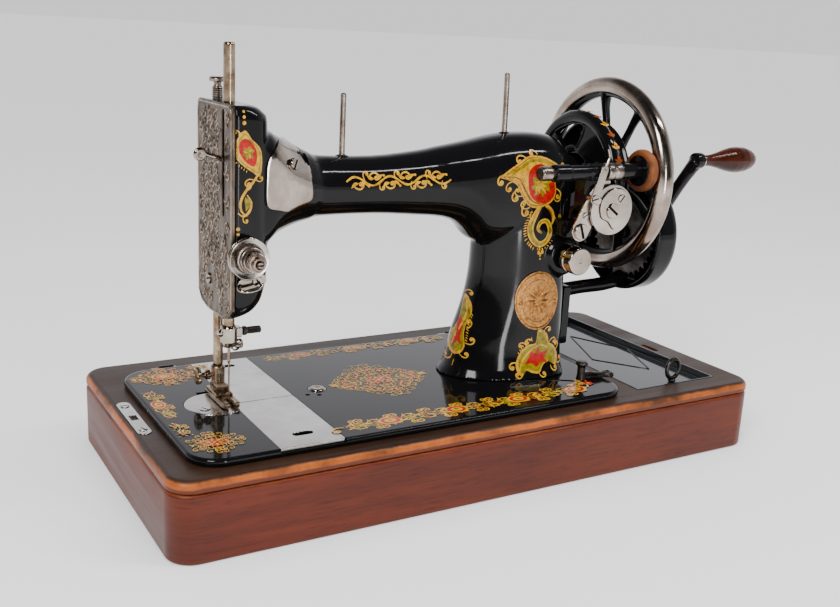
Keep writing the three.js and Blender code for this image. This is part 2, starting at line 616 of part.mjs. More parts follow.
// ---------- presser bar ----------
part('presser_bar', join(
  turned([[0, 77], [2.6, 77], [3.1, 78], [3.1, 203], [0, 203]], [NEEDLE_X, PRESSER_Y, 0], Z_AXIS, 12),
  rod(5.6, [NEEDLE_X, PRESSER_Y, 166], [NEEDLE_X, PRESSER_Y, 174], 12),
  block(NEEDLE_X - 2, NEEDLE_X + 2, PRESSER_Y, PRESSER_Y + 7, 166, 170),
), STEEL);
const coil = [];
for (let i = 0; i <= 36; i++) {
  const t = (2 * Math.PI * i) / 8;
  coil.push([NEEDLE_X + 4.5 * Math.cos(t), PRESSER_Y + 4.5 * Math.sin(t), 175.4 + (34 * i) / 36]);
}
part('presser_spring', sweep(coil, 0.7, 36, 3), STEEL);
part('pressure_screw', turned([[0, 211], [3.1, 211], [3.1, 252.6], [2.3, 253.4], [2.3, 255.4], [5, 256],
  [5.2, 257.6], [4.4, 258.6], [0, 258.6]], [NEEDLE_X, PRESSER_Y, 0], Z_AXIS, 14), NICKEL);

// hinged two-toed foot on a half-round shank
const FOOT_TOP = 76.6;
part('presser_foot', cut(
  join(
    rod(4.6, [NEEDLE_X - 0.3, PRESSER_Y, 63], [NEEDLE_X - 0.3, PRESSER_Y, FOOT_TOP], 12),
    block(NEEDLE_X - 4, NEEDLE_X + 4, PRESSER_Y - 8, PRESSER_Y + 4, 60.5, 66),
    block(NEEDLE_X - 6, NEEDLE_X + 6, PRESSER_Y - 14, PRESSER_Y + 9, 57.4, 61.5),
    block(NEEDLE_X - 6, NEEDLE_X - 1.6, PRESSER_Y - 27, PRESSER_Y - 10, 56.2, 58.8),
    block(NEEDLE_X + 1.6, NEEDLE_X + 6, PRESSER_Y - 27, PRESSER_Y - 10, 56.2, 58.8),
    block(NEEDLE_X - 6, NEEDLE_X + 6, PRESSER_Y - 12, PRESSER_Y + 9, 56.2, 58.8),
  ),
  rod(1.5, [NEEDLE_X - 12, PRESSER_Y, 71], [NEEDLE_X - 2, PRESSER_Y, 71], 8),
), STEEL);
part('foot_screw', join(
  rod(1.3, [NEEDLE_X - 3, PRESSER_Y, 71], [NEEDLE_X - 9, PRESSER_Y, 71], 8),
  turned([[0, 0], [3.2, 0], [3.2, 2.6], [1.8, 3.2], [1.8, 6], [5.4, 6.6], [5.6, 8.6], [4.4, 9.6], [0, 9.6]],
    [NEEDLE_X - 5.6, PRESSER_Y, 71], LEFT, 14),
), STEEL);

// lifter lever at the back of the head
part('presser_lifter', join(
  rod(2.4, [-157.6, 8.8, 156], [-157.6, 22, 156], 10),
  plate(capsule(-157.6, 156, -157.6, 128, 3.4), 'xz', 18.6, 21.6),
  rod(4.4, [-157.6, 20, 128], [-157.6, 27, 126], 10),
), STEEL);

// ---------- take-up lever ----------
const TAKE_UP = { x: -118, z: 201 };
const takeUpEye = [-181, 217.5];
const leverShape = polygon([
  [TAKE_UP.x + 4, TAKE_UP.z + 1], [TAKE_UP.x, TAKE_UP.z + 4.4], [-146, 210.6], [-168, 215.6], [-177, 216.8],
  [-177, 214.6], [-168, 212.2], [-146, 205.4], [TAKE_UP.x - 2, TAKE_UP.z - 3.6],
]);
const eyeRing = new THREE.TorusGeometry(2.9, 1.05, 6, 14);
eyeRing.rotateX(Math.PI / 2);
eyeRing.translate(takeUpEye[0] + 1, takeUpY, takeUpEye[1] - 1);
part('take_up_lever', cut(
  join(
    plate(leverShape, 'xz', takeUpY - 1.5, takeUpY + 1.5),
    solidOf(eyeRing),
  ),
  rod(1.4, [TAKE_UP.x, -40, TAKE_UP.z], [TAKE_UP.x, 0, TAKE_UP.z], 8),
), NICKEL);

// ---------- arm shaft and handwheel ----------
const shaftAt = (x) => [x, SHAFT_Y, SHAFT_Z];
part('arm_shaft', join(
  rod(SHAFT_R, shaftAt(-150), shaftAt(146), 14),
  turned([[0, 0], [13, 0], [13, 4.6], [0, 4.6]], shaftAt(-150.6), X_AXIS, 16),
), STEEL);

const rimTurn = new THREE.TorusGeometry(WHEEL_R, RIM_HALF, 7, 28);
rimTurn.rotateY(Math.PI / 2);
rimTurn.translate(...shaftAt(WHEEL_X));
const hub = turned([[0, -17], [38, -17], [40, -15.4], [36.5, -12.5], [40, -9.6], [38, -8], [15, -7],
  [13, 4], [12, 12], [0, 12]], shaftAt(WHEEL_X), X_AXIS, 20);
const spokes = [];
for (let i = 0; i < SPOKES; i++) {
  const base = (2 * Math.PI * i) / SPOKES + SPOKE_START;
  const bend = [[11, 0, 1], [24, 0.05, 3], [38, 0.06, 3], [50, 0.03, 1], [61, 0, 0]];
  const path = bend.map(([r, lean, dx]) => [WHEEL_X + dx, SHAFT_Y + r * Math.sin(base + lean),
    SHAFT_Z + r * Math.cos(base + lean)]);
  spokes.push(sweep(path, 3.3, 5, 5));
}
part('handwheel', cut(
  join(solidOf(rimTurn), hub, ...spokes),
  rod(SHAFT_R + 0.2, shaftAt(100), shaftAt(160), 16),
), NICKEL);
part('clutch_nut', join(
  turned([[0, 0], [12, 0], [12, 3], [10.6, 4.2], [0, 4.2]], shaftAt(WHEEL_X + 12.4), X_AXIS, 20),
), NICKEL);

// curved guard over the wheel's belt groove, with a window
const guardShape = new THREE.Shape();
const guardStart = THREE.MathUtils.degToRad(-18);
const guardEnd = THREE.MathUtils.degToRad(205);
guardShape.absarc(SHAFT_Y, SHAFT_Z, 46.5, guardStart, guardEnd, false);
guardShape.absarc(SHAFT_Y, SHAFT_Z, 15.4, guardEnd, guardStart, true);
guardShape.closePath();
const guardWindow = new THREE.Path();
const windowFrom = THREE.MathUtils.degToRad(48);
const windowTo = THREE.MathUtils.degToRad(104);
guardWindow.absarc(SHAFT_Y, SHAFT_Z, 37, windowFrom, windowTo, false);
guardWindow.absarc(SHAFT_Y, SHAFT_Z, 21, windowTo, windowFrom, true);
guardWindow.closePath();
guardShape.holes.push(guardWindow);
const guardPlate = new THREE.ExtrudeGeometry(guardShape,
  { depth: 9, bevelEnabled: false, curveSegments: 10 });
guardPlate.applyMatrix4(new THREE.Matrix4().set(0, 0, 1, 105, 1, 0, 0, 0, 0, 1, 0, 0, 0, 0, 0, 1));
part('belt_guard', solidOf(guardPlate), JAPAN);

// ---------- hand crank unit ----------
const crankAt = (x) => [x, CRANK_Y, CRANK_Z];
const housingCup = turned(
  [[0, 20], [39.6, 20], [40.4, 3], [43.2, 3], [43.7, 18], [40.2, 23], [30, 24.4], [0, 24.4]],
  crankAt(148), X_AXIS, 24);
const pinionBoss = rod(15, shaftAt(168), shaftAt(172.4), 18);
const foot = (x0, x1) => block(x0, x1, CRANK_Y - 13, CRANK_Y + 11, 72, 116);
const bracketArm = join(
  sweep([[92, CRANK_Y, 109.5], [118, CRANK_Y, 110.8], [140, CRANK_Y, 111.4], [158, CRANK_Y, 115]], 5.2, 6, 8),
  foot(92.6, 98.5),
);
part('crank_bracket', cut(
  join(housingCup, pinionBoss, bracketArm, slottedScrew([98.2, CRANK_Y, 86], X_AXIS, 6, 3.8)),
  rod(5.6, crankAt(140), crankAt(190), 12),
  rod(4.6, shaftAt(140), shaftAt(190), 12),
  casting.translate([GAP, 0, 0]),
  rod(GEAR_R + 3, crankAt(150), crankAt(167), 24),
  rod(PINION_R + 3, shaftAt(150), shaftAt(166.6), 14),
  rod(29, shaftAt(140), shaftAt(157.4), 24),
), JAPAN);

function gear(teeth, pitch, x0, x1, centre, phase, bore) {
  const outline = [];
  const step = (2 * Math.PI) / teeth;
  for (let i = 0; i < teeth; i++) {
    const t = i * step + phase;
    for (const [r, d] of [[pitch - 1.7, -0.28], [pitch + 1, -0.1], [pitch + 1, 0.1], [pitch - 1.7, 0.28]]) {
      outline.push([centre[0] + r * Math.cos(t + d * step), centre[1] + r * Math.sin(t + d * step)]);
    }
  }
  const shape = polygon(outline);
  if (bore) shape.holes.push(new THREE.Path().absarc(centre[0], centre[1], bore, 0, 2 * Math.PI, true));
  return plate(shape, 'yz', x0, x1);
}
const meshAngle = Math.atan2(SHAFT_Z - CRANK_Z, SHAFT_Y - CRANK_Y);
part('crank_gear', gear(GEAR_TEETH, GEAR_R, 156, 161, [CRANK_Y, CRANK_Z], meshAngle, 5.3), IRON);
// the small gear carries a driving finger that reaches between two spokes
const fingerAngle = SPOKE_START + Math.PI / SPOKES;
const fingerAt = (r, x) => [x, SHAFT_Y + r * Math.sin(fingerAngle), SHAFT_Z + r * Math.cos(fingerAngle)];
part('drive_pinion', join(
  gear(PINION_TEETH, PINION_R, 155.5, 161.5, [SHAFT_Y, SHAFT_Z],
    meshAngle + Math.PI + Math.PI / PINION_TEETH, 0),
  rod(4.1, shaftAt(152.4), shaftAt(174.6), 12),
  rod(7, shaftAt(172.8), shaftAt(175), 12),
  rod(8, shaftAt(152.2), shaftAt(154.8), 14),
  rod(1.8, fingerAt(5, 153.7), fingerAt(25, 153.7), 8),
  rod(2.4, fingerAt(25, 155.4), fingerAt(25, 135), 8),
), IRON);

part('crank_arm', join(
  rod(5, crankAt(153), crankAt(180), 12),
  turned([[0, 0], [9, 0], [9, 8], [6, 10.5], [0, 10.5]], crankAt(178.2), X_AXIS, 18),
  sweep([crankAt(184), [183.6, -27, 166.5], [183.8, -40, 186.5], [184.2, -51, 202],
    [184.6, HANDLE_Y, HANDLE_Z]], 4.4, 6, 8),
  turned([[0, 0], [5.6, 0.6], [5.8, 6.6], [4.4, 8.2], [1.9, 8.4], [1.9, 48.3], [0, 48.3]],
    [180.6, HANDLE_Y, HANDLE_Z], X_AXIS, 12),
), JAPAN);
// turned wooden grip on the crank's pin
const gripStart = 189.6;
const GRIP = [
  [2.2, 0], [3.9, 0], [4.1, 6], [6, 15], [8.6, 24.5], [9.6, 33], [9.2, 41.5], [7, 48.2], [3.4, 52.3],
  [0, 53], [0, 40.5], [2.2, 40.3], [2.2, 0]];
part('crank_handle', turned(GRIP, [gripStart, HANDLE_Y, HANDLE_Z], X_AXIS, 14), HANDLE_WOOD);

// ---------- stitch length control ----------
part('stitch_knob', turned(
  [[0, 0], [2.9, 0], [2.9, 5.2], [8.6, 5.6], [9.8, 7], [9.8, 18], [9.2, 19.2], [0, 19.2]],
  stitchAt(-43.6), FRONT, 22), NICKEL);

// ---------- bobbin winder ----------
const CAM = { x: 96, z: 178.5 };
const spindleAt = (x) => [x, WINDER.y, WINDER.z];
const pivotAt = (x) => [x, WINDER.pivotY, WINDER.pivotZ];
part('winder_bracket', cut(
  join(
    block(70, 74.4, -56, -38, 158, 170),
    block(86.6, 91, -56, -38, 158, 170),
    block(70, 91, -44.6, -36, 158, 170),
    rod(2.2, pivotAt(68.5), pivotAt(92.5), 10),
  ),
  join(pillar, arm).translate([0, -GAP, 0]),
), JAPAN);
part('winder_frame', cut(
  join(
    tube(5.8, 3.4, spindleAt(46), spindleAt(88), 16),
    block(75.4, 85.6, -64, -54, 172, 203),
    rod(5.4, pivotAt(75), pivotAt(86), 12),
    block(75.4, 85.6, -58, -49, 162, 180),
    rod(3, [CAM.x, -58, CAM.z], [CAM.x, -67.6, CAM.z], 10),
    block(80, 99, -61, -57, 172.6, 184),
  ),
  rod(2.5, pivotAt(50), pivotAt(100), 12),
  rod(3.4, spindleAt(30), spindleAt(110), 16),
), JAPAN);
part('winder_spindle', join(
  turned([[0, 0], [4.6, 0.6], [4.8, 8.4], [3, 9.4], [3, 54.6], [6, 55.2], [6.2, 60], [4.8, 61],
    [6, 62.4], [6, 67], [5.4, 68], [5.4, 84], [0, 84]], spindleAt(35), X_AXIS, 12),
  turned([[0, 0], [10.4, 0], [10.4, 8], [0, 8]], spindleAt(118.9), X_AXIS, 18),
), STEEL);
part('winder_tyre', turned(
  [[10.7, 0.6], [13.4, 0.6], [14.6, 2.4], [14.6, 5.6], [13.4, 7.4], [10.7, 7.4], [10.7, 0.6]],
  spindleAt(118.9), X_AXIS, 18), RUBBER);
// plate with the thread guide's pivot, the snail cam and the guide finger
part('winder_plate', cut(
  join(
    plate(capsule(73.5, 165, 86, 190, 7), 'xz', -66.4, -64.3),
    plate(capsule(86, 190, 92, 197, 4), 'xz', -66.4, -64.3),
  ),
  rod(7, spindleAt(50), spindleAt(130), 16),
), NICKEL);
const CAM_POINTS = 22;
const camOutline = [];
for (let i = 0; i < CAM_POINTS; i++) {
  const t = (2 * Math.PI * i) / CAM_POINTS;
  const r = 17.7 + Math.cos(t - 0.6) + 0.3 * Math.cos(2 * t);
  camOutline.push([CAM.x + r * Math.cos(t), CAM.z + r * Math.sin(t)]);
}
const camShape = polygon(camOutline);
camShape.holes.push(new THREE.Path().absarc(CAM.x, CAM.z, 3.3, 0, 2 * Math.PI, true));
part('winder_cam', join(
  plate(camShape, 'xz', -69.2, -67),
  slottedScrew([CAM.x, -69, CAM.z], FRONT, 6, 2),
  slottedScrew([CAM.x + 8, -69, CAM.z + 9], FRONT, 3.4, 1.6),
), NICKEL);
part('winder_guide', join(
  plate(capsule(77, 188, 83.5, 207.5, 3.4), 'xz', -74, -72.6),
  sweep([[84, -73.3, 208], [86, -73.4, 213], [84.5, -73.4, 221]], 0.8, 5, 5),
  slottedScrew([77, -73.8, 188], FRONT, 2.8, 1.4),
  rod(1.8, [77, -66.8, 188], [77, -73, 188], 8),
), NICKEL);

// ---------- shuttle drive under the bed ----------
const SHUTTLE_X = -134;
part('shuttle_rocker', join(
  rod(5, [ROCKER_X, SHAFT_Y, 31], [ROCKER_X, SHAFT_Y, 187], 12),
  plate(capsule(ROCKER_X, SHAFT_Y, SHUTTLE_X, SHAFT_Y, 6), 'xy', 33, 37),
  rod(9, [ROCKER_X, SHAFT_Y, 31], [ROCKER_X, SHAFT_Y, 41], 16),
  block(SHUTTLE_X - 7, SHUTTLE_X + 7, SHAFT_Y - 20, SHAFT_Y + 20, 36.6, 39),
), IRON);
const shuttleRod = (r0, r1, y0, y1) => turned(
  [[0, y0], [r0 * 0.4, y0], [r0, y0 + 6], [r1, y1 - 9], [r1 * 0.2, y1], [0, y1]],
  [SHUTTLE_X, 0, 45.2], FRONT, 12);
part('shuttle', cut(
  shuttleRod(5.4, 5.4, -8, 33),
  block(SHUTTLE_X - 3.6, SHUTTLE_X + 3.6, -26, 4, 42.4, 60),
), STEEL);
part('bobbin', rod(2, [SHUTTLE_X, -24, 45.4], [SHUTTLE_X, 2, 45.4], 10), STEEL);

export default machine;
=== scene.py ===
"""Looks for a hand-cranked sewing machine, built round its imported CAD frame.

Shapes are written in millimetres in the row frame: +X from the needle to the crank, +Y to the back, +Z up.
"""

import math

import bmesh
import bpy
import numpy as np
from mathutils import Matrix, Vector
from mathutils.bvhtree import BVHTree

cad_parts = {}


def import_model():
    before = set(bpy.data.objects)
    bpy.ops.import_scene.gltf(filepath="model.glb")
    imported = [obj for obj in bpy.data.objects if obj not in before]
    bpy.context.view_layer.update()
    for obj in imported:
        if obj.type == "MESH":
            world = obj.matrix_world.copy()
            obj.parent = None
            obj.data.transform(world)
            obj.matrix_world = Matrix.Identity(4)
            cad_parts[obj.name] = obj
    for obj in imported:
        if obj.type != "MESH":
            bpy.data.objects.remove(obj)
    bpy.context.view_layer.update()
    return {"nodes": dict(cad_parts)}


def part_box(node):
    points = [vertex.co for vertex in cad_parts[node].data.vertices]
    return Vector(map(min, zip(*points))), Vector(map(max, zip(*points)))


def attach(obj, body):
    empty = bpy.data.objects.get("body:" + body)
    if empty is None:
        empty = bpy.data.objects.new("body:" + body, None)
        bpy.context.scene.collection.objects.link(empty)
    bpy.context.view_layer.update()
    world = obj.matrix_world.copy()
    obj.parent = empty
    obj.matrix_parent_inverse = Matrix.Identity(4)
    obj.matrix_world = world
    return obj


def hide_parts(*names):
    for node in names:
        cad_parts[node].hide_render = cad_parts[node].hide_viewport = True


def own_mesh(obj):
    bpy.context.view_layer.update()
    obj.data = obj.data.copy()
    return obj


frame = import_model()

MM = 0.001
TAU = 2 * math.pi
FRONT = (0, -1, 0)
LEFT, RIGHT = (-1, 0, 0), (1, 0, 0)
UP = (0, 0, 1)


def span(node):
    """Lowest and highest corner of a CAD node in millimetres."""
    low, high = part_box(node)
    return np.array(low) / MM, np.array(high) / MM


def middle(node):
    low, high = span(node)
    return (low + high) / 2


def linked(name, data):
    """A new object that stands in the scene."""
    made = bpy.data.objects.new(name, data)
    bpy.context.scene.collection.objects.link(made)
    return made


# ---------------------------------------------------------------- shapes
class Shape:
    """Points in millimetres, faces, and a material number for each face."""

    def __init__(self, verts=(), faces=(), mats=None):
        self.verts = np.array(verts, float).reshape(-1, 3)
        self.faces = [tuple(int(i) for i in f) for f in faces]
        self.mats = list(mats) if mats is not None else [0] * len(self.faces)

    def __add__(self, other):
        shift = len(self.verts)
        return Shape(
            np.vstack([self.verts, other.verts]),
            self.faces + [tuple(i + shift for i in f) for f in other.faces],
            self.mats + other.mats,
        )

    def paint(self, number):
        self.mats = [number] * len(self.faces)
        return self


def union(shapes):
    total = Shape()
    for shape in shapes:
        total = total + shape
    return total


def mesh_of(shape, name="draft"):
    mesh = bpy.data.meshes.new(name)
    mesh.from_pydata((shape.verts * MM).tolist(), [], shape.faces)
    mesh.polygons.foreach_set("material_index", shape.mats)
    bm = bmesh.new()
    bm.from_mesh(mesh)
    bmesh.ops.remove_doubles(bm, verts=bm.verts, dist=1e-6)
    bmesh.ops.recalc_face_normals(bm, faces=bm.faces)
    bm.to_mesh(mesh)
    bm.free()
    mesh.update()
    return mesh


def shape_of(mesh):
    verts = np.zeros(len(mesh.vertices) * 3)
    mesh.vertices.foreach_get("co", verts)
    faces = [tuple(p.vertices) for p in mesh.polygons]
    return Shape(verts.reshape(-1, 3) / MM, faces, [p.material_index for p in mesh.polygons])


def with_modifiers(shape, *steps):
    """The shape after a row of modifiers, each given as (type, settings)."""
    draft = linked("draft", mesh_of(shape))
    for kind, settings in steps:
        modifier = draft.modifiers.new(kind, kind)
        for key, value in settings.items():
            setattr(modifier, key, value)
    result = bpy.data.meshes.new_from_object(draft.evaluated_get(bpy.context.evaluated_depsgraph_get()))
    answer = shape_of(result)
    bpy.data.meshes.remove(result)
    bpy.data.objects.remove(draft)
    return answer


def boolean(shape, tool):
    """The shape with the tool cut out of it."""
    other = linked("tool", mesh_of(tool))
    answer = with_modifiers(shape, ("BOOLEAN", dict(operation="DIFFERENCE", solver="EXACT", object=other)))
    bpy.data.objects.remove(other)
    return answer


def melted(shapes, voxel, rounds):
    """Separate closed shapes fused into one casting, with fillets where they meet."""
    voxel *= 1
    return with_modifiers(
        union(shapes),
        ("REMESH", dict(mode="VOXEL", voxel_size=voxel * MM, adaptivity=0)),
        ("SMOOTH", dict(factor=0.5, iterations=rounds)),
    )


def curve_through(points, per=6, closed=False):
    """Catmull-Rom points through any rows of numbers."""
    p = np.array(points, float)
    n = len(p)
    if n == 2 and not closed:
        return np.array([p[0] + (p[1] - p[0]) * t for t in np.linspace(0, 1, per + 1)])
    rows = []
    for i in range(n if closed else n - 1):
        pick = lambda k: p[k % n] if closed else p[min(max(k, 0), n - 1)]
        a, b, c, d = pick(i - 1), pick(i), pick(i + 1), pick(i + 2)
        for t in np.arange(per) / per:
            rows.append(
                0.5 * (2 * b + (c - a) * t + (2 * a - 5 * b + 4 * c - d) * t**2
                       + (3 * b - a - 3 * c + d) * t**3)
            )
    if not closed:
        rows.append(p[-1])
    return np.array(rows)


def rounded(points, per=4):
    """A closed outline carried smoothly through its corners."""
    return [tuple(p) for p in curve_through(points, per, closed=True)]


def circle(cu, cv, r, n=48):
    return [(cu + r * math.cos(TAU * i / n), cv + r * math.sin(TAU * i / n)) for i in range(n)]


def ellipse(cu, cv, ru, rv, n):
    return [(cu + ru * math.cos(t), cv + rv * math.sin(t)) for t in np.linspace(0, TAU, n, endpoint=False)]


def arc(cu, cv, r, a0, a1, n=24):
    return [
        (cu + r * math.cos(math.radians(a)), cv + r * math.sin(math.radians(a)))
        for a in np.linspace(a0, a1, n)
    ]


def capsule(u0, v0, u1, v1, r0, r1=None, n=12):
    """A bar with round ends, in its plane; the ends may differ in radius."""
    r1 = r0 if r1 is None else r1
    a = math.degrees(math.atan2(v1 - v0, u1 - u0))
    return arc(u1, v1, r1, a - 90, a + 90, n) + arc(u0, v0, r0, a + 90, a + 270, n)


def rounded_rect(u0, u1, v0, v1, radius, n=8):
    r = min(radius, (u1 - u0) / 2 - 0.01, (v1 - v0) / 2 - 0.01)
    corners = [(u1 - r, v0 + r, -90), (u1 - r, v1 - r, 0), (u0 + r, v1 - r, 90), (u0 + r, v0 + r, 180)]
    return [p for cu, cv, start in corners for p in arc(cu, cv, r, start, start + 90, n + 1)]


def even(points, step):
    """A closed loop with its points spaced evenly along it."""
    loop = np.array(list(points) + [points[0]], float)
    gone = np.concatenate([[0], np.cumsum(np.linalg.norm(np.diff(loop, axis=0), axis=1))])
    spots = np.linspace(0, gone[-1], max(8, round(gone[-1] / step)), endpoint=False)
    return [tuple(np.interp(t, gone, column) for column in loop.T) for t in spots]


def soften(profile, radius):
    """Rounds the inner corners of a turned profile."""
    out = [profile[0]]
    for before, at, after in zip(profile, profile[1:], profile[2:]):
        a, b, c = (np.array(q, float) for q in (before, at, after))
        into, leave = a - b, c - b
        r = min(radius, np.linalg.norm(into) * 0.45, np.linalg.norm(leave) * 0.45)
        p = b + into / max(np.linalg.norm(into), 1e-9) * r
        q = b + leave / max(np.linalg.norm(leave), 1e-9) * r
        for t in (0, 0.25, 0.5, 0.75, 1):
            out.append(tuple((1 - t) ** 2 * p + 2 * t * (1 - t) * b + t**2 * q))
    out.append(profile[-1])
    return out


def axes_for(axis):
    w = np.array(axis, float) / np.linalg.norm(axis)
    u = np.cross([0, 0, 1] if abs(w[2]) < 0.9 else [1, 0, 0], w)
    u /= np.linalg.norm(u)
    return u, np.cross(w, u), w


def lathe(profile, origin, axis, sides=48, fillet=0.35, ribs=None):
    """A turned piece from (radius, distance) points. ribs=(count, depth, from, to) knurls that stretch."""
    points = soften(profile, fillet) if fillet else list(profile)
    closed = np.allclose(profile[0], profile[-1])
    if closed:
        points = points[:-1]
    if ribs:
        sides = ribs[0] * 4
    u, v, w = axes_for(axis)
    verts, rings = [], []
    for r, d in points:
        if r < 1e-6:
            rings.append([len(verts)] * sides)
            verts.append(np.array(origin) + w * d)
            continue
        rings.append(list(range(len(verts), len(verts) + sides)))
        for i in range(sides):
            t = TAU * i / sides
            reach = r
            if ribs and ribs[2] <= d <= ribs[3]:
                reach -= ribs[1] * (0.5 - 0.5 * math.cos(t * ribs[0]))
            verts.append(np.array(origin) + u * reach * math.cos(t) + v * reach * math.sin(t) + w * d)
    faces = []
    pairs = list(zip(rings, rings[1:])) + ([(rings[-1], rings[0])] if closed else [])
    for low, high in pairs:
        for i in range(sides):
            j = (i + 1) % sides
            face = [low[i], low[j], high[j], high[i]]
            face = [k for n, k in enumerate(face) if k not in face[:n]]
            if len(face) > 2:
                faces.append(face)
    return Shape(verts, faces)


def rod(radius, start, end, sides=32, fillet=0.3):
    length = float(np.linalg.norm(np.subtract(end, start)))
    return lathe([(0, 0), (radius, 0), (radius, length), (0, length)], start, np.subtract(end, start), sides,
                 fillet)


def tube(outer, inner, start, end, sides=40, fillet=0.3):
    d = float(np.linalg.norm(np.subtract(end, start)))
    ring = [(inner, d / 2), (inner, 0), (outer, 0), (outer, d), (inner, d), (inner, d / 2)]
    return lathe(ring, start, np.subtract(end, start), sides, fillet)


def loft(rings):
    n = len(rings[0])
    verts = [p for ring in rings for p in ring]
    faces = [tuple(reversed(range(n))), tuple(range(len(verts) - n, len(verts)))]
    for k in range(len(rings) - 1):
        for i in range(n):
            j = (i + 1) % n
            faces.append((k * n + i, k * n + j, (k + 1) * n + j, (k + 1) * n + i))
    return Shape(verts, faces)


def sweep(points, radius, sides=14, per=8, closed=False, flat=1.0, side=None):
    """A round or oval bar along a smooth path; radius may be one number or one for each point."""
    radii = np.full(len(points), radius, float) if np.isscalar(radius) else np.array(radius, float)
    path = curve_through(np.column_stack([points, radii]), per, closed)
    spots, sizes = path[:, :3], path[:, 3]
    run = np.gradient(spots, axis=0) if not closed else np.roll(spots, -1, 0) - np.roll(spots, 1, 0)
    run /= np.linalg.norm(run, axis=1)[:, None]
    normal = np.array(side, float) if side is not None else np.array(axes_for(run[0])[0])
    rings = []
    for spot, size, ahead in zip(spots, sizes, run):
        normal = normal - ahead * np.dot(normal, ahead)
        normal /= np.linalg.norm(normal)
        across = np.cross(ahead, normal)
        rings.append([
            spot + size * (normal * math.cos(TAU * i / sides) + across * flat * math.sin(TAU * i / sides))
            for i in range(sides)
        ])
    if closed:
        shape = loft(rings)
        n, last = sides, (len(rings) - 1) * sides
        shape.faces = shape.faces[2:] + [(last + i, last + (i + 1) % n, (i + 1) % n, i) for i in range(n)]
        shape.mats = [0] * len(shape.faces)
        return shape
    for end, ahead in ((0, -1), (-1, 1)):
        centre = np.mean(rings[end], axis=0)
        ring, size, way = np.array(rings[end]), sizes[end], run[end] * ahead
        cap = [centre + (ring - centre) * s + way * size * d
               for s, d in ((0.92, 0.16), (0.7, 0.34), (0.35, 0.44))]
        rings = cap[::-1] + rings if ahead < 0 else rings + cap
    return loft(rings)


def slab(loops, plane, low, high, bevel=0.25, segments=2):
    """A plate of one outline and its holes, with rounded edges, lying in plane 'xy', 'xz' or 'yz'."""
    data = bpy.data.curves.new("outline", "CURVE")
    data.dimensions = "2D"
    data.fill_mode = "BOTH"
    bevel = min(bevel, (high - low) * 0.45)
    data.extrude = ((high - low) / 2 - bevel) * MM
    data.bevel_depth = bevel * MM
    data.bevel_resolution = segments
    data.offset = -bevel * MM
    for loop in loops:
        line = data.splines.new("POLY")
        line.points.add(len(loop) - 1)
        line.use_cyclic_u = True
        for spot, (a, b) in zip(line.points, loop):
            spot.co = (a * MM, b * MM, 0, 1)
    draft = linked("outline", data)
    mesh = bpy.data.meshes.new_from_object(draft.evaluated_get(bpy.context.evaluated_depsgraph_get()))
    shape = shape_of(mesh)
    bpy.data.objects.remove(draft)
    bpy.data.meshes.remove(mesh)
    a, b, c = shape.verts[:, 0], shape.verts[:, 1], shape.verts[:, 2] + (low + high) / 2
    order = {"xy": (a, b, c), "xz": (a, c, b), "yz": (c, a, b)}[plane]
    shape.verts = np.column_stack(order)
    return shape


def block(x0, x1, y0, y1, z0, z1, bevel=0.4, segments=2):
    return slab([[(x0, y0), (x1, y0), (x1, y1), (x0, y1)]], "xy", z0, z1, bevel, segments) if bevel else loft(
        [[(x0, y0, z), (x1, y0, z), (x1, y1, z), (x0, y1, z)] for z in (z0, z1)]
    )


PAINTED_SHADE = 9  # face number of painted shade: dark sheets laid in slots, round screw heads and along steps


def screw_head(origin, axis, radius, height, angle=0.6, shank=0.0):
    """A slotted cheese head, slightly domed, with painted shade: a dark bar in the slot and a dark ring round
    its foot.
    """
    head = lathe([(0, -shank), (radius, -shank), (radius, height * 0.8), (radius * 0.93, height),
                  (0, height * 1.02)],
                 origin, axis, 36, 0.12)
    u, v, w = axes_for(axis)
    along = u * math.cos(angle) + v * math.sin(angle)
    across = np.cross(w, along)
    half, wide = radius * 1.2, max(radius * 0.18, 0.3)

    def bar(long, broad, low, high):
        corners = [np.array(origin) + along * sa * long + across * sb * broad + w * (height * k)
                   for k in (low, high) for sa, sb in ((-1, -1), (1, -1), (1, 1), (-1, 1))]
        return Shape(corners, [(3, 2, 1, 0), (4, 5, 6, 7), (0, 1, 5, 4), (1, 2, 6, 5), (2, 3, 7, 6),
                               (3, 0, 4, 7)])

    # the dark ring round the foot and the dark bar in the slot are painted shade
    collar = lathe([(radius - 0.2, -0.1), (radius + 0.35, -0.1), (radius + 0.2, 0.22), (radius - 0.2, 0.3),
                    (radius - 0.2, -0.1)],
                   origin, axis, 36)
    shade_sheets = bar(radius * 0.97, wide * 0.94, 0.2, 0.5) + collar
    return boolean(head, bar(half, wide, 0.35, 1.6)) + shade_sheets.paint(PAINTED_SHADE)


def copy_of(node, bevel=0.3, angle=30):
    """A CAD node's own solid with its edges broken."""
    shape = shape_of(frame["nodes"][node].data)
    return with_modifiers(shape, ("WELD", dict(merge_threshold=1e-5)), (
        "BEVEL", dict(width=bevel * MM, segments=2, limit_method="ANGLE", angle_limit=math.radians(angle),
                      use_clamp_overlap=True)))


# ---------------------------------------------------------------- materials
MIX_INPUTS, MIX_RESULT = (0, 6, 7), 2  # the mix node's factor, its two colours and the colour it gives


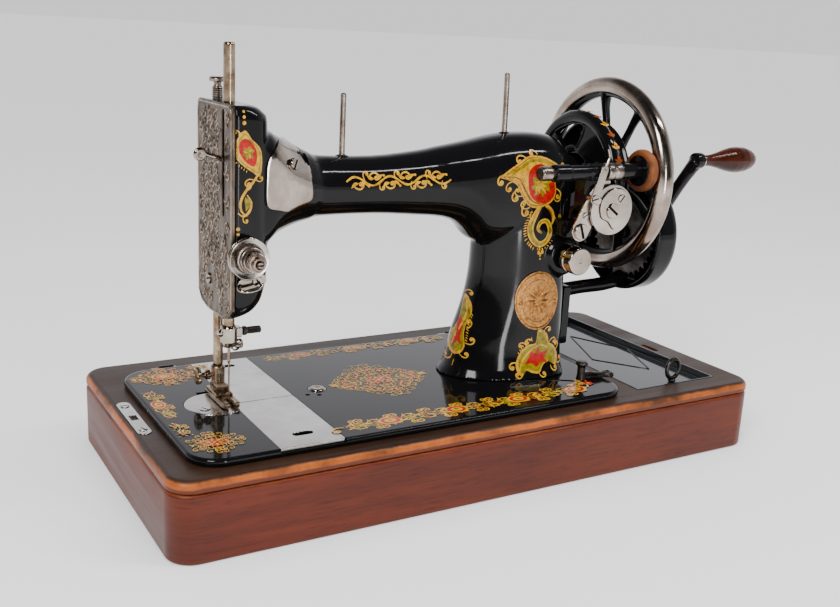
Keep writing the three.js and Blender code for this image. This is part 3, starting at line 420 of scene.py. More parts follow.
class Graph:
    """Adds nodes to one tree and joins them."""

    def __init__(self, tree):
        self.tree = tree

    def node(self, kind, **settings):
        made = self.tree.nodes.new(kind)
        for key, value in settings.items():
            setattr(made, key, value)
        return made

    def feed(self, socket, value):
        if isinstance(value, bpy.types.NodeSocket):
            self.tree.links.new(value, socket)
        elif isinstance(value, (tuple, list)) and len(value) == 3 and socket.type == "RGBA":
            socket.default_value = (*value, 1)
        else:
            socket.default_value = value

    def ramp(self, value, *stops):
        """A colour ramp through two stops; each is a position and a colour or a grey."""
        made = self.node("ShaderNodeValToRGB")
        self.feed(made.inputs["Fac"], value)
        for element, (position, colour) in zip(made.color_ramp.elements, stops):
            element.position = position
            element.color = (*((colour,) * 3 if np.isscalar(colour) else colour), 1)
        return made.outputs["Color"]

    def math(self, operation, *values):
        made = self.node("ShaderNodeMath", operation=operation)
        for socket, value in zip(made.inputs, values):
            self.feed(socket, value)
        return made.outputs[0]

    def mix(self, share, a, b, blend="MIX"):
        made = self.node("ShaderNodeMix", data_type="RGBA", blend_type=blend)
        for place, value in zip(MIX_INPUTS, (share, a, b)):
            self.feed(made.inputs[place], value)
        return made.outputs[MIX_RESULT]


class Look(Graph):
    """A procedural material and the nodes that shade it."""

    def __init__(self, name, **sockets):
        self.material = bpy.data.materials.new(name)
        self.material.use_nodes = True
        super().__init__(self.material.node_tree)
        self.shader = self.tree.nodes["Principled BSDF"]
        for key, value in sockets.items():
            self.shader.inputs[key.replace("_", " ")].default_value = value

    def place(self, stretch=(1, 1, 1)):
        """Where a point lies on its own object, so that the pattern moves with the piece."""
        source = self.node("ShaderNodeTexCoord").outputs["Object"]
        mapping = self.node("ShaderNodeMapping")
        self.feed(mapping.inputs["Vector"], source)
        mapping.inputs["Scale"].default_value = stretch
        return mapping.outputs["Vector"]

    def noise(self, scale, detail=4.0, roughness=0.55, stretch=(1, 1, 1), distortion=0.0):
        made = self.node("ShaderNodeTexNoise")
        self.feed(made.inputs["Vector"], self.place(stretch))
        for key, value in dict(Scale=scale, Detail=detail, Roughness=roughness,
                               Distortion=distortion).items():
            made.inputs[key].default_value = value
        return made.outputs["Fac"]

    def height(self):
        made = self.node("ShaderNodeSeparateXYZ")
        self.feed(made.inputs[0], self.place())
        return made.outputs["Z"]

    def bump(self, value, strength, distance):
        made = self.node("ShaderNodeBump")
        made.inputs["Strength"].default_value = strength
        made.inputs["Distance"].default_value = distance * MM
        self.feed(made.inputs["Height"], value)
        self.feed(self.shader.inputs["Normal"], made.outputs["Normal"])
        return self

    def show(self, socket, value):
        self.feed(self.shader.inputs[socket], value)
        return self


def japanned(name, base=(0.0035, 0.0035, 0.004), dust=0.02, sheen=0.22):
    look = Look(name, IOR=1.5, Specular_IOR_Level=sheen)
    specks = look.ramp(look.noise(900, 3, 0.6), (0.66, 0.0), (0.74, 1.0))
    haze = look.noise(35, 4, 0.6)
    look.show("Base Color", look.mix(look.math("MULTIPLY", specks, 0.12), base,
                                     (dust * 2, dust * 1.6, dust * 1.2)))
    look.show("Roughness", look.ramp(haze, (0.35, 0.05), (0.7, 0.13)))
    return look.bump(look.noise(220, 3, 0.5), 0.04, 0.3)


def plated(name, base, dark, low, high, scale=60, stretch=(1, 1, 1), pits=0.5, bump=0.08):
    """Old metal: bright where rubbed, darker and duller in cloudy patches, with fine pits."""
    look = Look(name, Metallic=1.0)
    clouds = look.ramp(look.noise(scale, 5, 0.6, stretch), (0.38, 0.0), (0.68, 1.0))
    pitting = look.ramp(look.noise(1400, 3, 0.6), (0.62, 0.0), (0.72, 1.0))
    stain = look.mix(clouds, base, dark)
    look.show("Base Color", look.mix(look.math("MULTIPLY", pitting, pits), stain,
                                     tuple(c * 0.25 for c in dark)))
    look.show("Roughness", look.ramp(look.noise(scale * 1.7, 4, 0.6, stretch), (0.35, low), (0.7, high)))
    return look.bump(look.noise(700, 4, 0.6, stretch), bump, 0.3)


def wooden(name, light, dark, grain, rough=(0.3, 0.52), edge=None, edge_low=0, edge_high=0, skirt=None):
    """Polished wood: long grain, pores and blotches.

    edge colours a rubbed band between two heights, and skirt all that lies below it.
    """
    look = Look(name, Specular_IOR_Level=0.25)
    figure = look.noise(26, 6, 0.62, grain, 0.6)
    pores = look.ramp(look.noise(420, 3, 0.7, grain), (0.5, 0.0), (0.68, 1.0))
    blotch = look.ramp(look.noise(9, 4, 0.6), (0.35, 0.0), (0.7, 1.0))
    colour = look.mix(look.ramp(figure, (0.3, 0.0), (0.72, 1.0)), dark, light)
    colour = look.mix(look.math("MULTIPLY", blotch, 0.35), colour, tuple(c * 0.5 for c in dark))
    colour = look.mix(look.math("MULTIPLY", pores, 0.45), colour, tuple(c * 0.28 for c in dark))
    if edge:
        wear = look.noise(38, 6, 0.7, (1, 1, 0.4))
        level = look.math("ADD", look.height(), look.math("MULTIPLY", look.math("SUBTRACT", wear, 0.5),
                                                          0.003))

        def fade(at, before, after, first, last):
            """From the first grey to the last, about a height in mm; the ramps read decimetres."""
            return look.ramp(look.math("MULTIPLY", level, 10), (at * 0.01 + before, first),
                             (at * 0.01 + after, last))

        band = look.math("MULTIPLY", fade(edge_low, -0.006, 0.004, 0.0, 1.0),
                         fade(edge_high, -0.004, 0.004, 1.0, 0.0))
        patchy = look.ramp(look.noise(24, 5, 0.65), (0.36, 0.15), (0.58, 1.0))
        if skirt:
            colour = look.mix(fade(edge_low, -0.004, 0.002, 1.0, 0.0), colour, skirt)
        colour = look.mix(look.math("MULTIPLY", band, patchy), colour, edge)
    look.show("Base Color", colour)
    look.show("Roughness", look.ramp(figure, (0.3, rough[0]), (0.7, rough[1])))
    return look.bump(look.math("ADD", look.math("MULTIPLY", pores, -0.4), figure), 0.18, 0.35)


def enamel(name, base, shade, scale=300):
    """Transfer ornament: thin colour under varnish, rubbed thin in places."""
    look = Look(name, Specular_IOR_Level=0.35, Roughness=0.22)
    worn = look.ramp(look.noise(scale, 4, 0.65), (0.42, 0.0), (0.66, 1.0))
    look.show("Base Color", look.mix(worn, base, shade))
    return look.bump(look.noise(500, 3, 0.5), 0.05, 0.2)


LOOKS = {}


def build_looks():
    LOOKS["japan"] = japanned("japan_black")
    LOOKS["japan_soft"] = japanned("japan_black_worn", (0.006, 0.005, 0.005), 0.05)
    LOOKS["nickel"] = plated("nickel_plate", (0.56, 0.53, 0.49), (0.27, 0.22, 0.18), 0.12, 0.3)
    LOOKS["nickel_rim"] = plated("nickel_rim", (0.5, 0.43, 0.37), (0.17, 0.11, 0.08), 0.12, 0.3, 22, pits=0.5)
    LOOKS["nickel_bright"] = plated("nickel_polished", (0.44, 0.38, 0.33), (0.24, 0.19, 0.155), 0.07, 0.17,
                                    40, pits=0.25)
    LOOKS["nickel_face"] = plated("nickel_stamped", (0.4, 0.32, 0.25), (0.15, 0.105, 0.075), 0.18, 0.34, 160,
                                  (1, 1, 0.35), 0.7, 0.5)
    # a darker nickel for the end plate's ground between its raised curls
    LOOKS["nickel_ground"] = plated("nickel_dark_ground", (0.16, 0.12, 0.09), (0.045, 0.032, 0.024), 0.3, 0.5,
                                    160, (1, 1, 0.35), 0.7, 0.5)
    LOOKS["nickel_flat"] = plated("nickel_slide", (0.68, 0.66, 0.64), (0.52, 0.49, 0.46), 0.14, 0.28, 30,
                                  pits=0.15)
    LOOKS["nickel_warm"] = plated("nickel_winder", (0.52, 0.46, 0.41), (0.33, 0.27, 0.23), 0.16, 0.3, 45,
                                  pits=0.3)
    LOOKS["steel"] = plated("steel_worn", (0.36, 0.31, 0.27), (0.16, 0.1, 0.07), 0.2, 0.42, 110)
    LOOKS["steel_warm"] = plated("steel_oiled", (0.42, 0.32, 0.22), (0.17, 0.1, 0.06), 0.18, 0.4, 120)
    LOOKS["iron"] = plated("iron_dark", (0.08, 0.072, 0.066), (0.025, 0.02, 0.018), 0.25, 0.5, 90)
    # painted shade: a near-black finish for the dark sheets in slots, round screw heads and along steps
    LOOKS["painted_shade"] = plated("painted_shade_dark", (0.03, 0.02, 0.014), (0.01, 0.007, 0.005), 0.45, 0.7, 200)
    LOOKS["brass"] = plated("brass_stamped", (0.56, 0.27, 0.085), (0.24, 0.1, 0.028), 0.3, 0.5, 500, pits=0.5,
                            bump=0.9)
    LOOKS["mahogany"] = wooden("mahogany_side", (0.14, 0.023, 0.0068), (0.06, 0.008, 0.003),
                               (0.12, 0.12, 1.6), edge=(0.2, 0.05, 0.009), edge_low=41.5, edge_high=43.0)
    LOOKS["worn_top"] = wooden("mahogany_top", (0.042, 0.02, 0.011), (0.016, 0.008, 0.005), (0.1, 1, 1),
                               edge=(0.36, 0.085, 0.011), edge_low=45.6, edge_high=49.0,
                               skirt=(0.1, 0.018, 0.006))
    LOOKS["pine"] = wooden("pine", (0.36, 0.2, 0.09), (0.22, 0.11, 0.045), (0.1, 1, 1))
    LOOKS["handle"] = wooden("pear_wood", (0.115, 0.022, 0.008), (0.02, 0.004, 0.002), (0.35, 1.6, 1.6),
                             rough=(0.14, 0.3))
    LOOKS["tin"] = japanned("tin_black", (0.012, 0.013, 0.015), 0.08, 0.5)
    rubber = Look("rubber_old", Specular_IOR_Level=0.3)
    perished = rubber.ramp(rubber.noise(90, 5, 0.6), (0.35, 0.0), (0.65, 1.0))
    rubber.show("Base Color", rubber.mix(perished, (0.06, 0.016, 0.005), (0.2, 0.06, 0.013)))
    rubber.show("Roughness", rubber.ramp(rubber.noise(120, 4), (0.3, 0.4), (0.7, 0.7)))
    LOOKS["rubber"] = rubber.bump(rubber.noise(500, 4, 0.7), 0.4, 0.4)
    LOOKS["gold"] = enamel("transfer_gold", (0.56, 0.3, 0.016), (0.3, 0.13, 0.005))
    LOOKS["green"] = enamel("transfer_green", (0.22, 0.18, 0.005), (0.09, 0.065, 0.003))
    LOOKS["red"] = enamel("transfer_red", (0.38, 0.004, 0.001), (0.2, 0.002, 0.0006))
    LOOKS["brown"] = enamel("transfer_brown", (0.22, 0.06, 0.006), (0.08, 0.02, 0.003))


build_looks()


def piece(name, shape, looks, body, *nodes, slot=None, angle=32, weighted=True):
    """Puts a finished shape in the scene, riding on a CAD body and standing for its CAD nodes."""
    looks = [looks] if isinstance(looks, str) else list(looks)
    # faces numbered for painted shade get the near-black painted-shade finish
    if PAINTED_SHADE in shape.mats:
        shape.mats = [len(looks) if m == PAINTED_SHADE else m for m in shape.mats]
        looks.append("painted_shade")
    mesh = mesh_of(shape, name)
    mesh.polygons.foreach_set("use_smooth", [True] * len(mesh.polygons))
    mesh.set_sharp_from_angle(angle=math.radians(angle))
    for look in looks:
        mesh.materials.append(LOOKS[look].material)
    made = linked(name, mesh)
    if weighted:
        made.modifiers.new("facing", "WEIGHTED_NORMAL").keep_sharp = True
    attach(made, body)
    if nodes:
        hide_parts(*nodes)
    return made


def keep(node, look):
    """A CAD node that shows as it is, with a proper material."""
    made = frame["nodes"][node]
    made.data.materials.clear()
    made.data.materials.append(LOOKS[look].material)


# ---------------------------------------------------------------- wooden base
BASE_LOW, BASE_HIGH = span("base_frame")
TOP_LOW, TOP_HIGH = span("base_top_frame")
BED_TOP = 55.3
CORNER = 16
INNER_WALL = 12
HINGE_CUPS = ("hinge_cup_left", "hinge_cup_right")


def level_ring(low, high, inset, z, radius=CORNER, n=10):
    """One level outline of a rounded box, drawn in by inset."""
    loop = rounded_rect(low[0] + inset, high[0] - inset, low[1] + inset, high[1] - inset,
                        max(radius - inset, 1), n)
    return [(x, y, z) for x, y in loop]


def walls(rings):
    """A closed section carried round a box: each ring joins the next, and the last joins the first."""
    n = len(rings[0])
    faces = []
    for k in range(len(rings)):
        nxt = (k + 1) % len(rings)
        faces += [(k * n + i, k * n + (i + 1) % n, nxt * n + (i + 1) % n, nxt * n + i) for i in range(n)]
    return Shape([p for ring in rings for p in ring], faces)


def base_sides():
    """The four outer walls as one closed section carried round."""
    seam = BASE_HIGH[2]
    side = [(INNER_WALL, 0), (1.6, 0), (0.9, 0.3), (0.3, 0.9), (0, 1.8), (0, 8), (0, 20), (0, 34),
            (0, seam - 2.2), (0.3, seam - 1.1), (0.9, seam - 0.4), (1.7, seam), (INNER_WALL, seam),
            (INNER_WALL, 20)]
    piece("base_sides", walls([level_ring(BASE_LOW, BASE_HIGH, inset, z) for inset, z in side]), "mahogany",
          "base", "base_frame", slot="mahogany")


def base_top():
    """The rails round the bed, with the compartment, lock, catch and hinge seats cut out."""
    edge = ((1.8, TOP_LOW[2]), (1.0, 42.6), (0.35, 43.2), (0, 44.2), (0, 46.2), (0.15, 47.0), (0.55, 47.9),
            (1.1, 48.7), (1.9, 49.4), (2.9, 49.95), (4.2, TOP_HIGH[2]))
    rail = loft([level_ring(TOP_LOW, TOP_HIGH, inset, z) for inset, z in edge])
    well_low, well_high = span("compartment_liner")
    # the opening under the bed, the compartment's mouth, the lock plate's seat, a short slot beyond the
    # lid, and the seats of the hinge cups
    for cutter in (
        block(-197, 99, -85, 63, 40, 60, 0),
        block(well_low[0] - 0.3, well_high[0] + 0.3, well_low[1] - 0.3, well_high[1] + 0.3, 40, 60, 0),
        slab([capsule(-214.6, -26, -214.6, 22.8, 4.55)], "xy", 48.7, 60, 0.05),
        slab([capsule(203, -17.5, 203, -4.5, 2.4)], "xy", 46.2, 60, 0.05),
        *[block(middle(cup)[0] - 9.5, middle(cup)[0] + 9.5, 60, span(cup)[1][1] + 0.3, 44, 60, 0)
          for cup in HINGE_CUPS],
    ):
        rail = boolean(rail, cutter)
    piece("base_top_rails", rail, "worn_top", "base", "base_top_frame", slot="worn_top", angle=40)
    keep("base_board", "pine")
    keep("compartment_wall", "pine")


def hinge_sockets():
    for cup in HINGE_CUPS:
        piece(cup.replace("cup", "socket"), copy_of(cup), "steel", "base", cup, slot="nickel")


def compartment_rim():
    well_low, well_high = span("compartment_liner")
    lip = well_high[2]
    section = ((0.3, 41), (0, 41.3), (0, lip - 0.3), (0.3, lip + 0.25), (1.2, lip + 0.3), (1.6, lip),
               (2.0, 45), (2.6, 43.9), (6, 43.8), (6.2, 43.4), (6.2, 41.4), (5.9, 41))
    rim = [[(x, y, z) for x, y in rounded_rect(well_low[0] + i, well_high[0] - i, well_low[1] + i,
                                               well_high[1] - i, 1.2, 3)]
           for i, z in section]
    piece("compartment_rim", walls(rim), "tin", "base", "compartment_liner", slot="tin")


def lock():
    low, high = span("lock_plate")
    x = (low[0] + high[0]) / 2
    keyhole = rounded_rect(x - 2.3, x + 2.3, -6, 2, 0.4, 3)
    plate = slab([capsule(x, low[1] + 4.3, x, high[1] - 4.3, 4.3), keyhole], "xy", 48.9, 50.8, 0.35)
    screws = union(screw_head((x, y, 50.5), UP, 2.8, 0.9, turn) for y, turn in ((-22.5, 0.4), (19, 1.5)))
    # the dark iron floor inside the keyhole is painted shade for the depth of the hole
    bottom = slab([rounded_rect(x - 2.2, x + 2.2, -5.9, 1.9, 0.4, 3)], "xy", 48.9, 49.3, 0.05).paint(1)
    piece("lock_strike", plate + screws + bottom, ["nickel_flat", "iron"], "base", "lock_plate",
          slot="nickel")


def lid():
    low, high = span("compartment_lid")
    top = 45.9
    panel = slab([rounded_rect(low[0], high[0], low[1], high[1], 2, 4)], "xy", low[2], top, 0.5)
    lip = sweep([(low[0] + 1.6, low[1] + 1.6, top), (high[0] - 1.6, low[1] + 1.6, top),
                 (high[0] - 1.6, high[1] - 1.6, top), (low[0] + 1.6, high[1] - 1.6, top)], 0.55, 8, 1,
                closed=True)
    corners = [(170.5, 50.7), (193.0, 3.8), (173.7, -42.9), (146.9, -7.2)]
    bead = [tuple(np.array(a) + (np.array(b) - a) * t) for a, b in zip(corners, corners[1:] + corners[:1])
            for t in (0.04, 0.35, 0.65, 0.96)]
    ridge = sweep([(x, y, top - 0.1) for x, y in bead], 0.7, 8, 4, closed=True)
    ring_low, ring_high = span("lid_ring")
    rx, ry = (ring_low[0] + ring_high[0]) / 2, (ring_low[1] + ring_high[1]) / 2
    boss = lathe([(2.1, -0.2), (3.8, -0.2), (3.7, 1.2), (3.0, 1.5), (3.0, 3.2), (2.1, 3.4), (2.1, -0.2)],
                 (rx, ry, top), UP)
    piece("lid_panel", panel + lip + ridge + boss, "tin", "lid", "compartment_lid", slot="tin")


def pull_ring():
    ring_low, ring_high = span("lid_ring")
    rx, ry = (ring_low[0] + ring_high[0]) / 2, (ring_low[1] + ring_high[1]) / 2
    centre = ring_high[2] - 8.5
    turns = np.linspace(0, TAU, 16, endpoint=False)
    eye = sweep([(rx + 6.1 * math.sin(t), ry, centre + 7.2 * math.cos(t)) for t in turns],
                [1.45 + 0.25 * math.cos(t) ** 2 for t in turns], 12, 4, closed=True)
    stem = lathe([(0, 0), (1.8, 0), (1.8, 3.2), (2.9, 3.8), (3.0, 4.8), (1.7, 5.6), (1.6, 7.2), (0, 7.2)],
                 (rx, ry, ring_low[2]), UP)
    piece("pull_ring", eye + stem, "iron", "ring", "lid_ring", slot="iron")


def bed_latch():
    low = span("bed_catch")[0]
    post, tip = (88, -63.5), (112, -64.5)
    lever = slab([capsule(tip[0], tip[1], post[0], post[1], 3.2, 2.8), circle(*tip, 1.6, 24)], "xy", low[2],
                 low[2] + 2.1, 0.5)
    waist = sweep([(post[0], post[1], low[2] + 2.4), (95, -63.6, low[2] + 3.6), (103, -64, low[2] + 2.6),
                   (tip[0], tip[1], low[2] + 1.6)], [2.6, 2.2, 2.0, 2.6], 12, 6, flat=0.6)
    column = lathe([(0, 0), (3.6, 0), (3.2, 1), (2.8, 4), (2.8, 9.6), (3.4, 10.6), (4.4, 11.4), (4.4, 12.8),
                    (3.4, 13.6), (0, 13.7)],
                   (*post, low[2]), UP)
    knob = boolean(lathe([(0, 0), (4.6, 0), (4.6, 2.2), (3.8, 3.4), (0, 3.8)], (*tip, low[2]), UP),
                   rod(1.5, (*tip, low[2] + 2.4), (*tip, low[2] + 6)))
    piece("bed_latch", lever + waist + column + knob, "iron", "catch", "bed_catch", slot="iron")


# ---------------------------------------------------------------- bed
STRIP_LEFT, STRIP_RIGHT = span("slide_plate_front")[0][0] - 0.3, span("slide_plate_front")[1][0] + 0.3
DISC = (-164.5, -9.5)
DISC_R = 19.8
NEEDLE_X, NEEDLE_Y, PRESSER_Y = -158.5, -17, 3
SHAFT_Y, SHAFT_Z = -12, 195
BED = (np.array([-205.8, -94.0]), np.array([108.2, 72.3]))


def bed():
    """The bed with its slot, seats and oil holes, its underside and its hinge lugs."""
    levels = ((1.6, 50.6), (0.6, 51.0), (0.1, 51.8), (0, 53.0), (0.15, 54.0), (0.6, 54.7), (1.3, 55.1),
              (2.4, BED_TOP))
    rings = [level_ring((*BED[0], 0), (*BED[1], 0), inset, z, 20, 12) for inset, z in levels]
    bed = loft(rings)
    # the slide plates' seat and the opening under them, the needle plate's seat and the opening under it,
    # the oil cap's seat, and two oil holes
    for cutter in (
        block(STRIP_LEFT, STRIP_RIGHT, -96, 75, 53.1, 60, 0),
        block(STRIP_LEFT + 6, STRIP_RIGHT - 5, -76, 56, 40, 60, 0),
        lathe([(0, 0), (DISC_R + 0.25, 0), (DISC_R + 0.25, 6), (0, 6)], (*DISC, 53.1), UP, 96, 0),
        block(-170, -155, -26, 14, 40, 60, 0),
        rod(6.6, (-93.7, -9.2, 53.7), (-93.7, -9.2, 60), 48, 0),
        rod(1.6, (-97, -20, 52.8), (-97, -20, 60), 24, 0),
        rod(1.6, (-104, -17, 52.8), (-104, -17, 60), 24, 0),
    ):
        bed = boolean(bed, cutter)
    skirt = copy_of("bed_plate", 0.2)
    under = boolean(skirt, block(-300, 300, -300, 300, 50.7, 80, 0))
    lugs = []
    for x in (-170, 68):
        lugs += [rod(2.6, (x - 5, 78.5, 51.4), (x + 5, 78.5, 51.4)),
                 block(x - 5, x + 5, 67.3, 78, 50.7, 53.2, 0.4)]
    bead = sweep([(x, y, BED_TOP - 0.1) for x, y in (
        (35.5, -52.5), (45, -50.2), (60, -53), (77.5, -60.5), (83, -66), (77.5, -71.5), (64, -73.6),
        (50, -73), (36, -69), (29.5, -60.5))], 0.7, 10, 6, closed=True)
    piece("bed", bed + under + union(lugs) + bead, "japan", "head", "bed_plate", slot="japan", angle=40)


def oil_cap():
    piece("oil_cap", lathe([(0, -1.2), (6.2, -1.2), (6.2, 0.1), (5.2, 0.35), (4.9, 0.9), (3.4, 1.2),
                            (1.2, 1.0), (0, 0.8)],
                           (-93.7, -9.2, BED_TOP), UP), "nickel_bright", "head", "oil_button", slot="nickel")


def throat_plate():
    disc = lathe([(0, 0), (DISC_R, 0), (DISC_R, 1.8), (DISC_R - 0.5, 2.2), (0, 2.2)], (*DISC, 53.4), UP, 96,
                 0.2)
    disc = boolean(disc, block(STRIP_LEFT - 0.3, -100, -60, 60, 40, 60, 0))
    for hole in (lathe([(0, 0), (1.0, 0), (1.0, 14), (1.8, 15.3), (0, 15.3)], (NEEDLE_X, NEEDLE_Y, 40.4), UP,
                       24, 0),
                 block(-163.2, -161, -16, -2, 40, 60, 0), block(-156.6, -155.8, -20, -2, 40, 60, 0)):
        disc = boolean(disc, hole)
    piece("throat_plate", disc + screw_head((-174, -17, 55.55), UP, 3.2, 0.5, 0.5), "nickel_flat", "head",
          "needle_plate", slot="nickel")


def feed_bar():
    teeth = union(block(-162.7, -161.5, y, y + 0.7, 54.8, 55.5, 0.1) for y in np.arange(-13.8, -5.4, 1.3))
    piece("feed_bar", copy_of("feed_dog", 0.15) + teeth, "steel", "feed", "feed_dog", slot="steel")


def slide_plates():
    for node, name, notch in (("slide_plate_front", "slide_front", -75.7),
                              ("slide_plate_rear", "slide_rear", 58)):
        low, high = span(node)
        plate = slab([rounded_rect(low[0], high[0], low[1], high[1], 0.8, 3),
                      capsule(-137.5, notch, -129.5, notch, 2.6)],
                     "xy", low[2], high[2], 0.22)
        piece(name, plate, "nickel_flat", "front_slide" if notch < 0 else "rear_slide", node, slot="nickel")


# ---------------------------------------------------------------- arm casting
HEAD_Y = -13
HEAD_FACE = -43
ARM_SECTIONS = [
    # x, half width, top, bottom, corner radius, middle y
    (-152, 27, 234.5, 153, 12, HEAD_Y), (-140, 27.5, 231, 161.5, 15, HEAD_Y),
    (-133, 26.5, 227.5, 165.6, 19, HEAD_Y), (-125, 25, 223.8, 168, 22, -12.6),
    (-116, 22.6, 219.8, 170.4, 22, -12.3), (-107, 20.4, 215.4, 172.4, 20, SHAFT_Y),
    (-98, 18.9, 212.6, 174.2, 18.8, SHAFT_Y), (-60, 19, 211.8, 174, 18.8, SHAFT_Y),
    (-28, 21, 214.4, 171.6, 20.9, SHAFT_Y), (-10, 22.6, 217.2, 169.8, 22.4, SHAFT_Y),
    (2, 24, 219.1, 166.6, 23.6, SHAFT_Y), (11, 25, 220.6, 160.6, 24.4, SHAFT_Y),
    (18, 25.8, 221.9, 153, 24.8, SHAFT_Y), (28, 26.8, 223.8, 150, 25.2, SHAFT_Y),
    (42, 27.6, 225.8, 150, 25.6, SHAFT_Y), (58, 28, 226.5, 150, 25.6, SHAFT_Y),
    (72, 27.4, 225.6, 150, 25, SHAFT_Y), (82, 26, 223, 150, 24, SHAFT_Y), (88, 23, 218, 152, 22, SHAFT_Y),
    (91, 18, 211, 156, 17, SHAFT_Y),
]
PILLAR_SECTIONS = [
    # z, left tip, right end, half depth
    (55.5, 0.2, 93.8, 39.2), (56.6, 1.4, 93.2, 38.2), (58.6, 3.0, 92.8, 37.0), (63, 5.8, 92.3, 35.2),
    (72, 8, 92, 33.2), (85, 11.2, 91.8, 31.8), (98, 16, 91.8, 30.8), (112, 20.4, 91.8, 30.2),
    (128, 23, 91.6, 29.6), (145, 23.5, 91.2, 29), (170, 24, 90.8, 28.2), (190, 27, 90, 27),
]
PILLAR_WIDEST = 66
HEAD_SECTIONS = [
    # z, inset at front and back, right side
    (116.2, 14, -156), (118.4, 8, -153), (122, 3, -149), (127, 0.6, -145.5), (133, 0, -143), (148, 0, -140.5),
    (190, 0, -140.5), (235, 0, -141.1), (240, 0.4, -143), (243.4, 1.8, -146), (245, 4, -150),
]


def arm_shape():
    rings = []
    for x, half, top, bottom, radius, y in curve_through(ARM_SECTIONS, 3):
        rings.append([(x, v, z) for v, z in rounded_rect(y - half, y + half, bottom, top, radius, 10)])
    return loft(rings)


def pillar_shape():
    rings = []
    for z, left, right, half in curve_through(PILLAR_SECTIONS, 3):
        ring = []
        for i in range(72):
            c, s = math.cos(TAU * i / 72), math.sin(TAU * i / 72)
            n = 2 if c < 0 else 3
            reach = (abs(c) ** n + abs(s) ** n) ** (-1 / n)
            half_x = PILLAR_WIDEST - left if c < 0 else right - PILLAR_WIDEST
            ring.append((PILLAR_WIDEST + half_x * reach * c, HEAD_Y + half * reach * s, z))
        rings.append(ring)
    return loft(rings)


def head_shape():
    rings = []
    for z, inset, right in curve_through(HEAD_SECTIONS, 3):
        loop = rounded_rect(-176, right, HEAD_FACE + inset, 2 * HEAD_Y - HEAD_FACE - inset, 12, 10)
        rings.append([(max(x, -164), y, z) for x, y in loop])
    return loft(rings)


STITCH = (79, 142.4)


def arm_and_pillar():
    """The arm, pillar and head fused into one casting; the solid is handed on for what lies on it."""
    boss = lathe([(0, 0), (17, 0), (17, 8), (14.5, 11), (14.5, 20.6), (0, 20.6)], (83, SHAFT_Y, SHAFT_Z),
                 RIGHT, 72)
    collar = lathe([(0, 0), (14, 0), (14, 12), (12, 14), (0, 14)], (STITCH[0], -32, STITCH[1]), FRONT, 72)
    body = melted([arm_shape(), pillar_shape(), head_shape(), boss, collar], 1.25, 7)
    # the stitch knob's bore, the hollow behind the end plate and the take-up lever's way; then two bar bores
    body = boolean(body, rod(3.4, (STITCH[0], -37, STITCH[1]), (STITCH[0], -60, STITCH[1]), 32, 0))
    body = boolean(body, block(-170, -150, -36, 10, 130, 237, 0))
    body = boolean(body, block(-156, -112, -30.5, -22.5, 182.5, 215.5, 0))
    for y, r in ((NEEDLE_Y, 3.75), (PRESSER_Y, 3.45)):
        body = boolean(body, rod(r, (NEEDLE_X, y, 100), (NEEDLE_X, y, 260), 32, 0))
    seats = union(lathe([(2.1, -2), (4.4, -2), (4.2, 0.5), (2.1, 1.2), (2.1, -2)], (x, SHAFT_Y, z), UP)
                  for x, z in ((-81.8, 211.6), (43, 225.4)))
    piece("arm_and_pillar", body + seats, "japan", "head", "arm_casting", slot="japan", angle=50,
          weighted=False)
    return body


class Surface:
    """Drops flat outlines on to a curved solid."""

    def __init__(self, shape):
        self.tree = BVHTree.FromPolygons([tuple(v) for v in shape.verts], shape.faces)

    def front(self, turn=0.0, pivot=(0, 0)):
        """Looks along +Y, or turned about an upright line through pivot, and lands where it first meets."""
        c, s = math.cos(math.radians(turn)), math.sin(math.radians(turn))
        ahead = Vector((-s, c, 0))

        def before(u, v):
            """A point well clear of the solid, on the viewer's side."""
            return Vector((pivot[0] + (u - pivot[0]) * c, pivot[1] + (u - pivot[0]) * s, v)) - ahead * 200

        def drop(u, v, lift):
            start = before(u, v)
            spot, normal, *_ = self.tree.ray_cast(start, ahead)
            if spot is None:
                spot, normal, *_ = self.tree.find_nearest(start + ahead * (200 + HEAD_Y - 16 - pivot[1]))
            normal = normal if normal.dot(ahead) < 0 else -normal
            return np.array(spot + normal * lift)

        def reach(centre, p):
            """How far from centre towards p the solid is still in the way."""
            for share in np.linspace(1, 0.5, 51):
                u, v = centre + (np.array(p, float) - centre) * share
                spot, normal, *_ = self.tree.ray_cast(before(u, v), ahead)
                if spot is not None and abs(normal.dot(ahead)) > 0.22:
                    return share
            return 0.5

        drop.reach = reach
        return drop


BED_LEFT, BED_FRONT, BED_BACK, BED_ROUND = -202.8, -91.2, 69.4, 17.6


def on_bed(u, v, lift):
    """The bed's flat top, or None past its rounded edge."""
    if u < BED_LEFT or not BED_FRONT < v < BED_BACK:
        return None
    inner = (BED_LEFT + BED_ROUND, min(max(v, BED_FRONT + BED_ROUND), BED_BACK - BED_ROUND))
    if u < inner[0] and v != inner[1] and math.dist((u, v), inner) > BED_ROUND:
        return None
    return np.array((u, v, BED_TOP + lift))


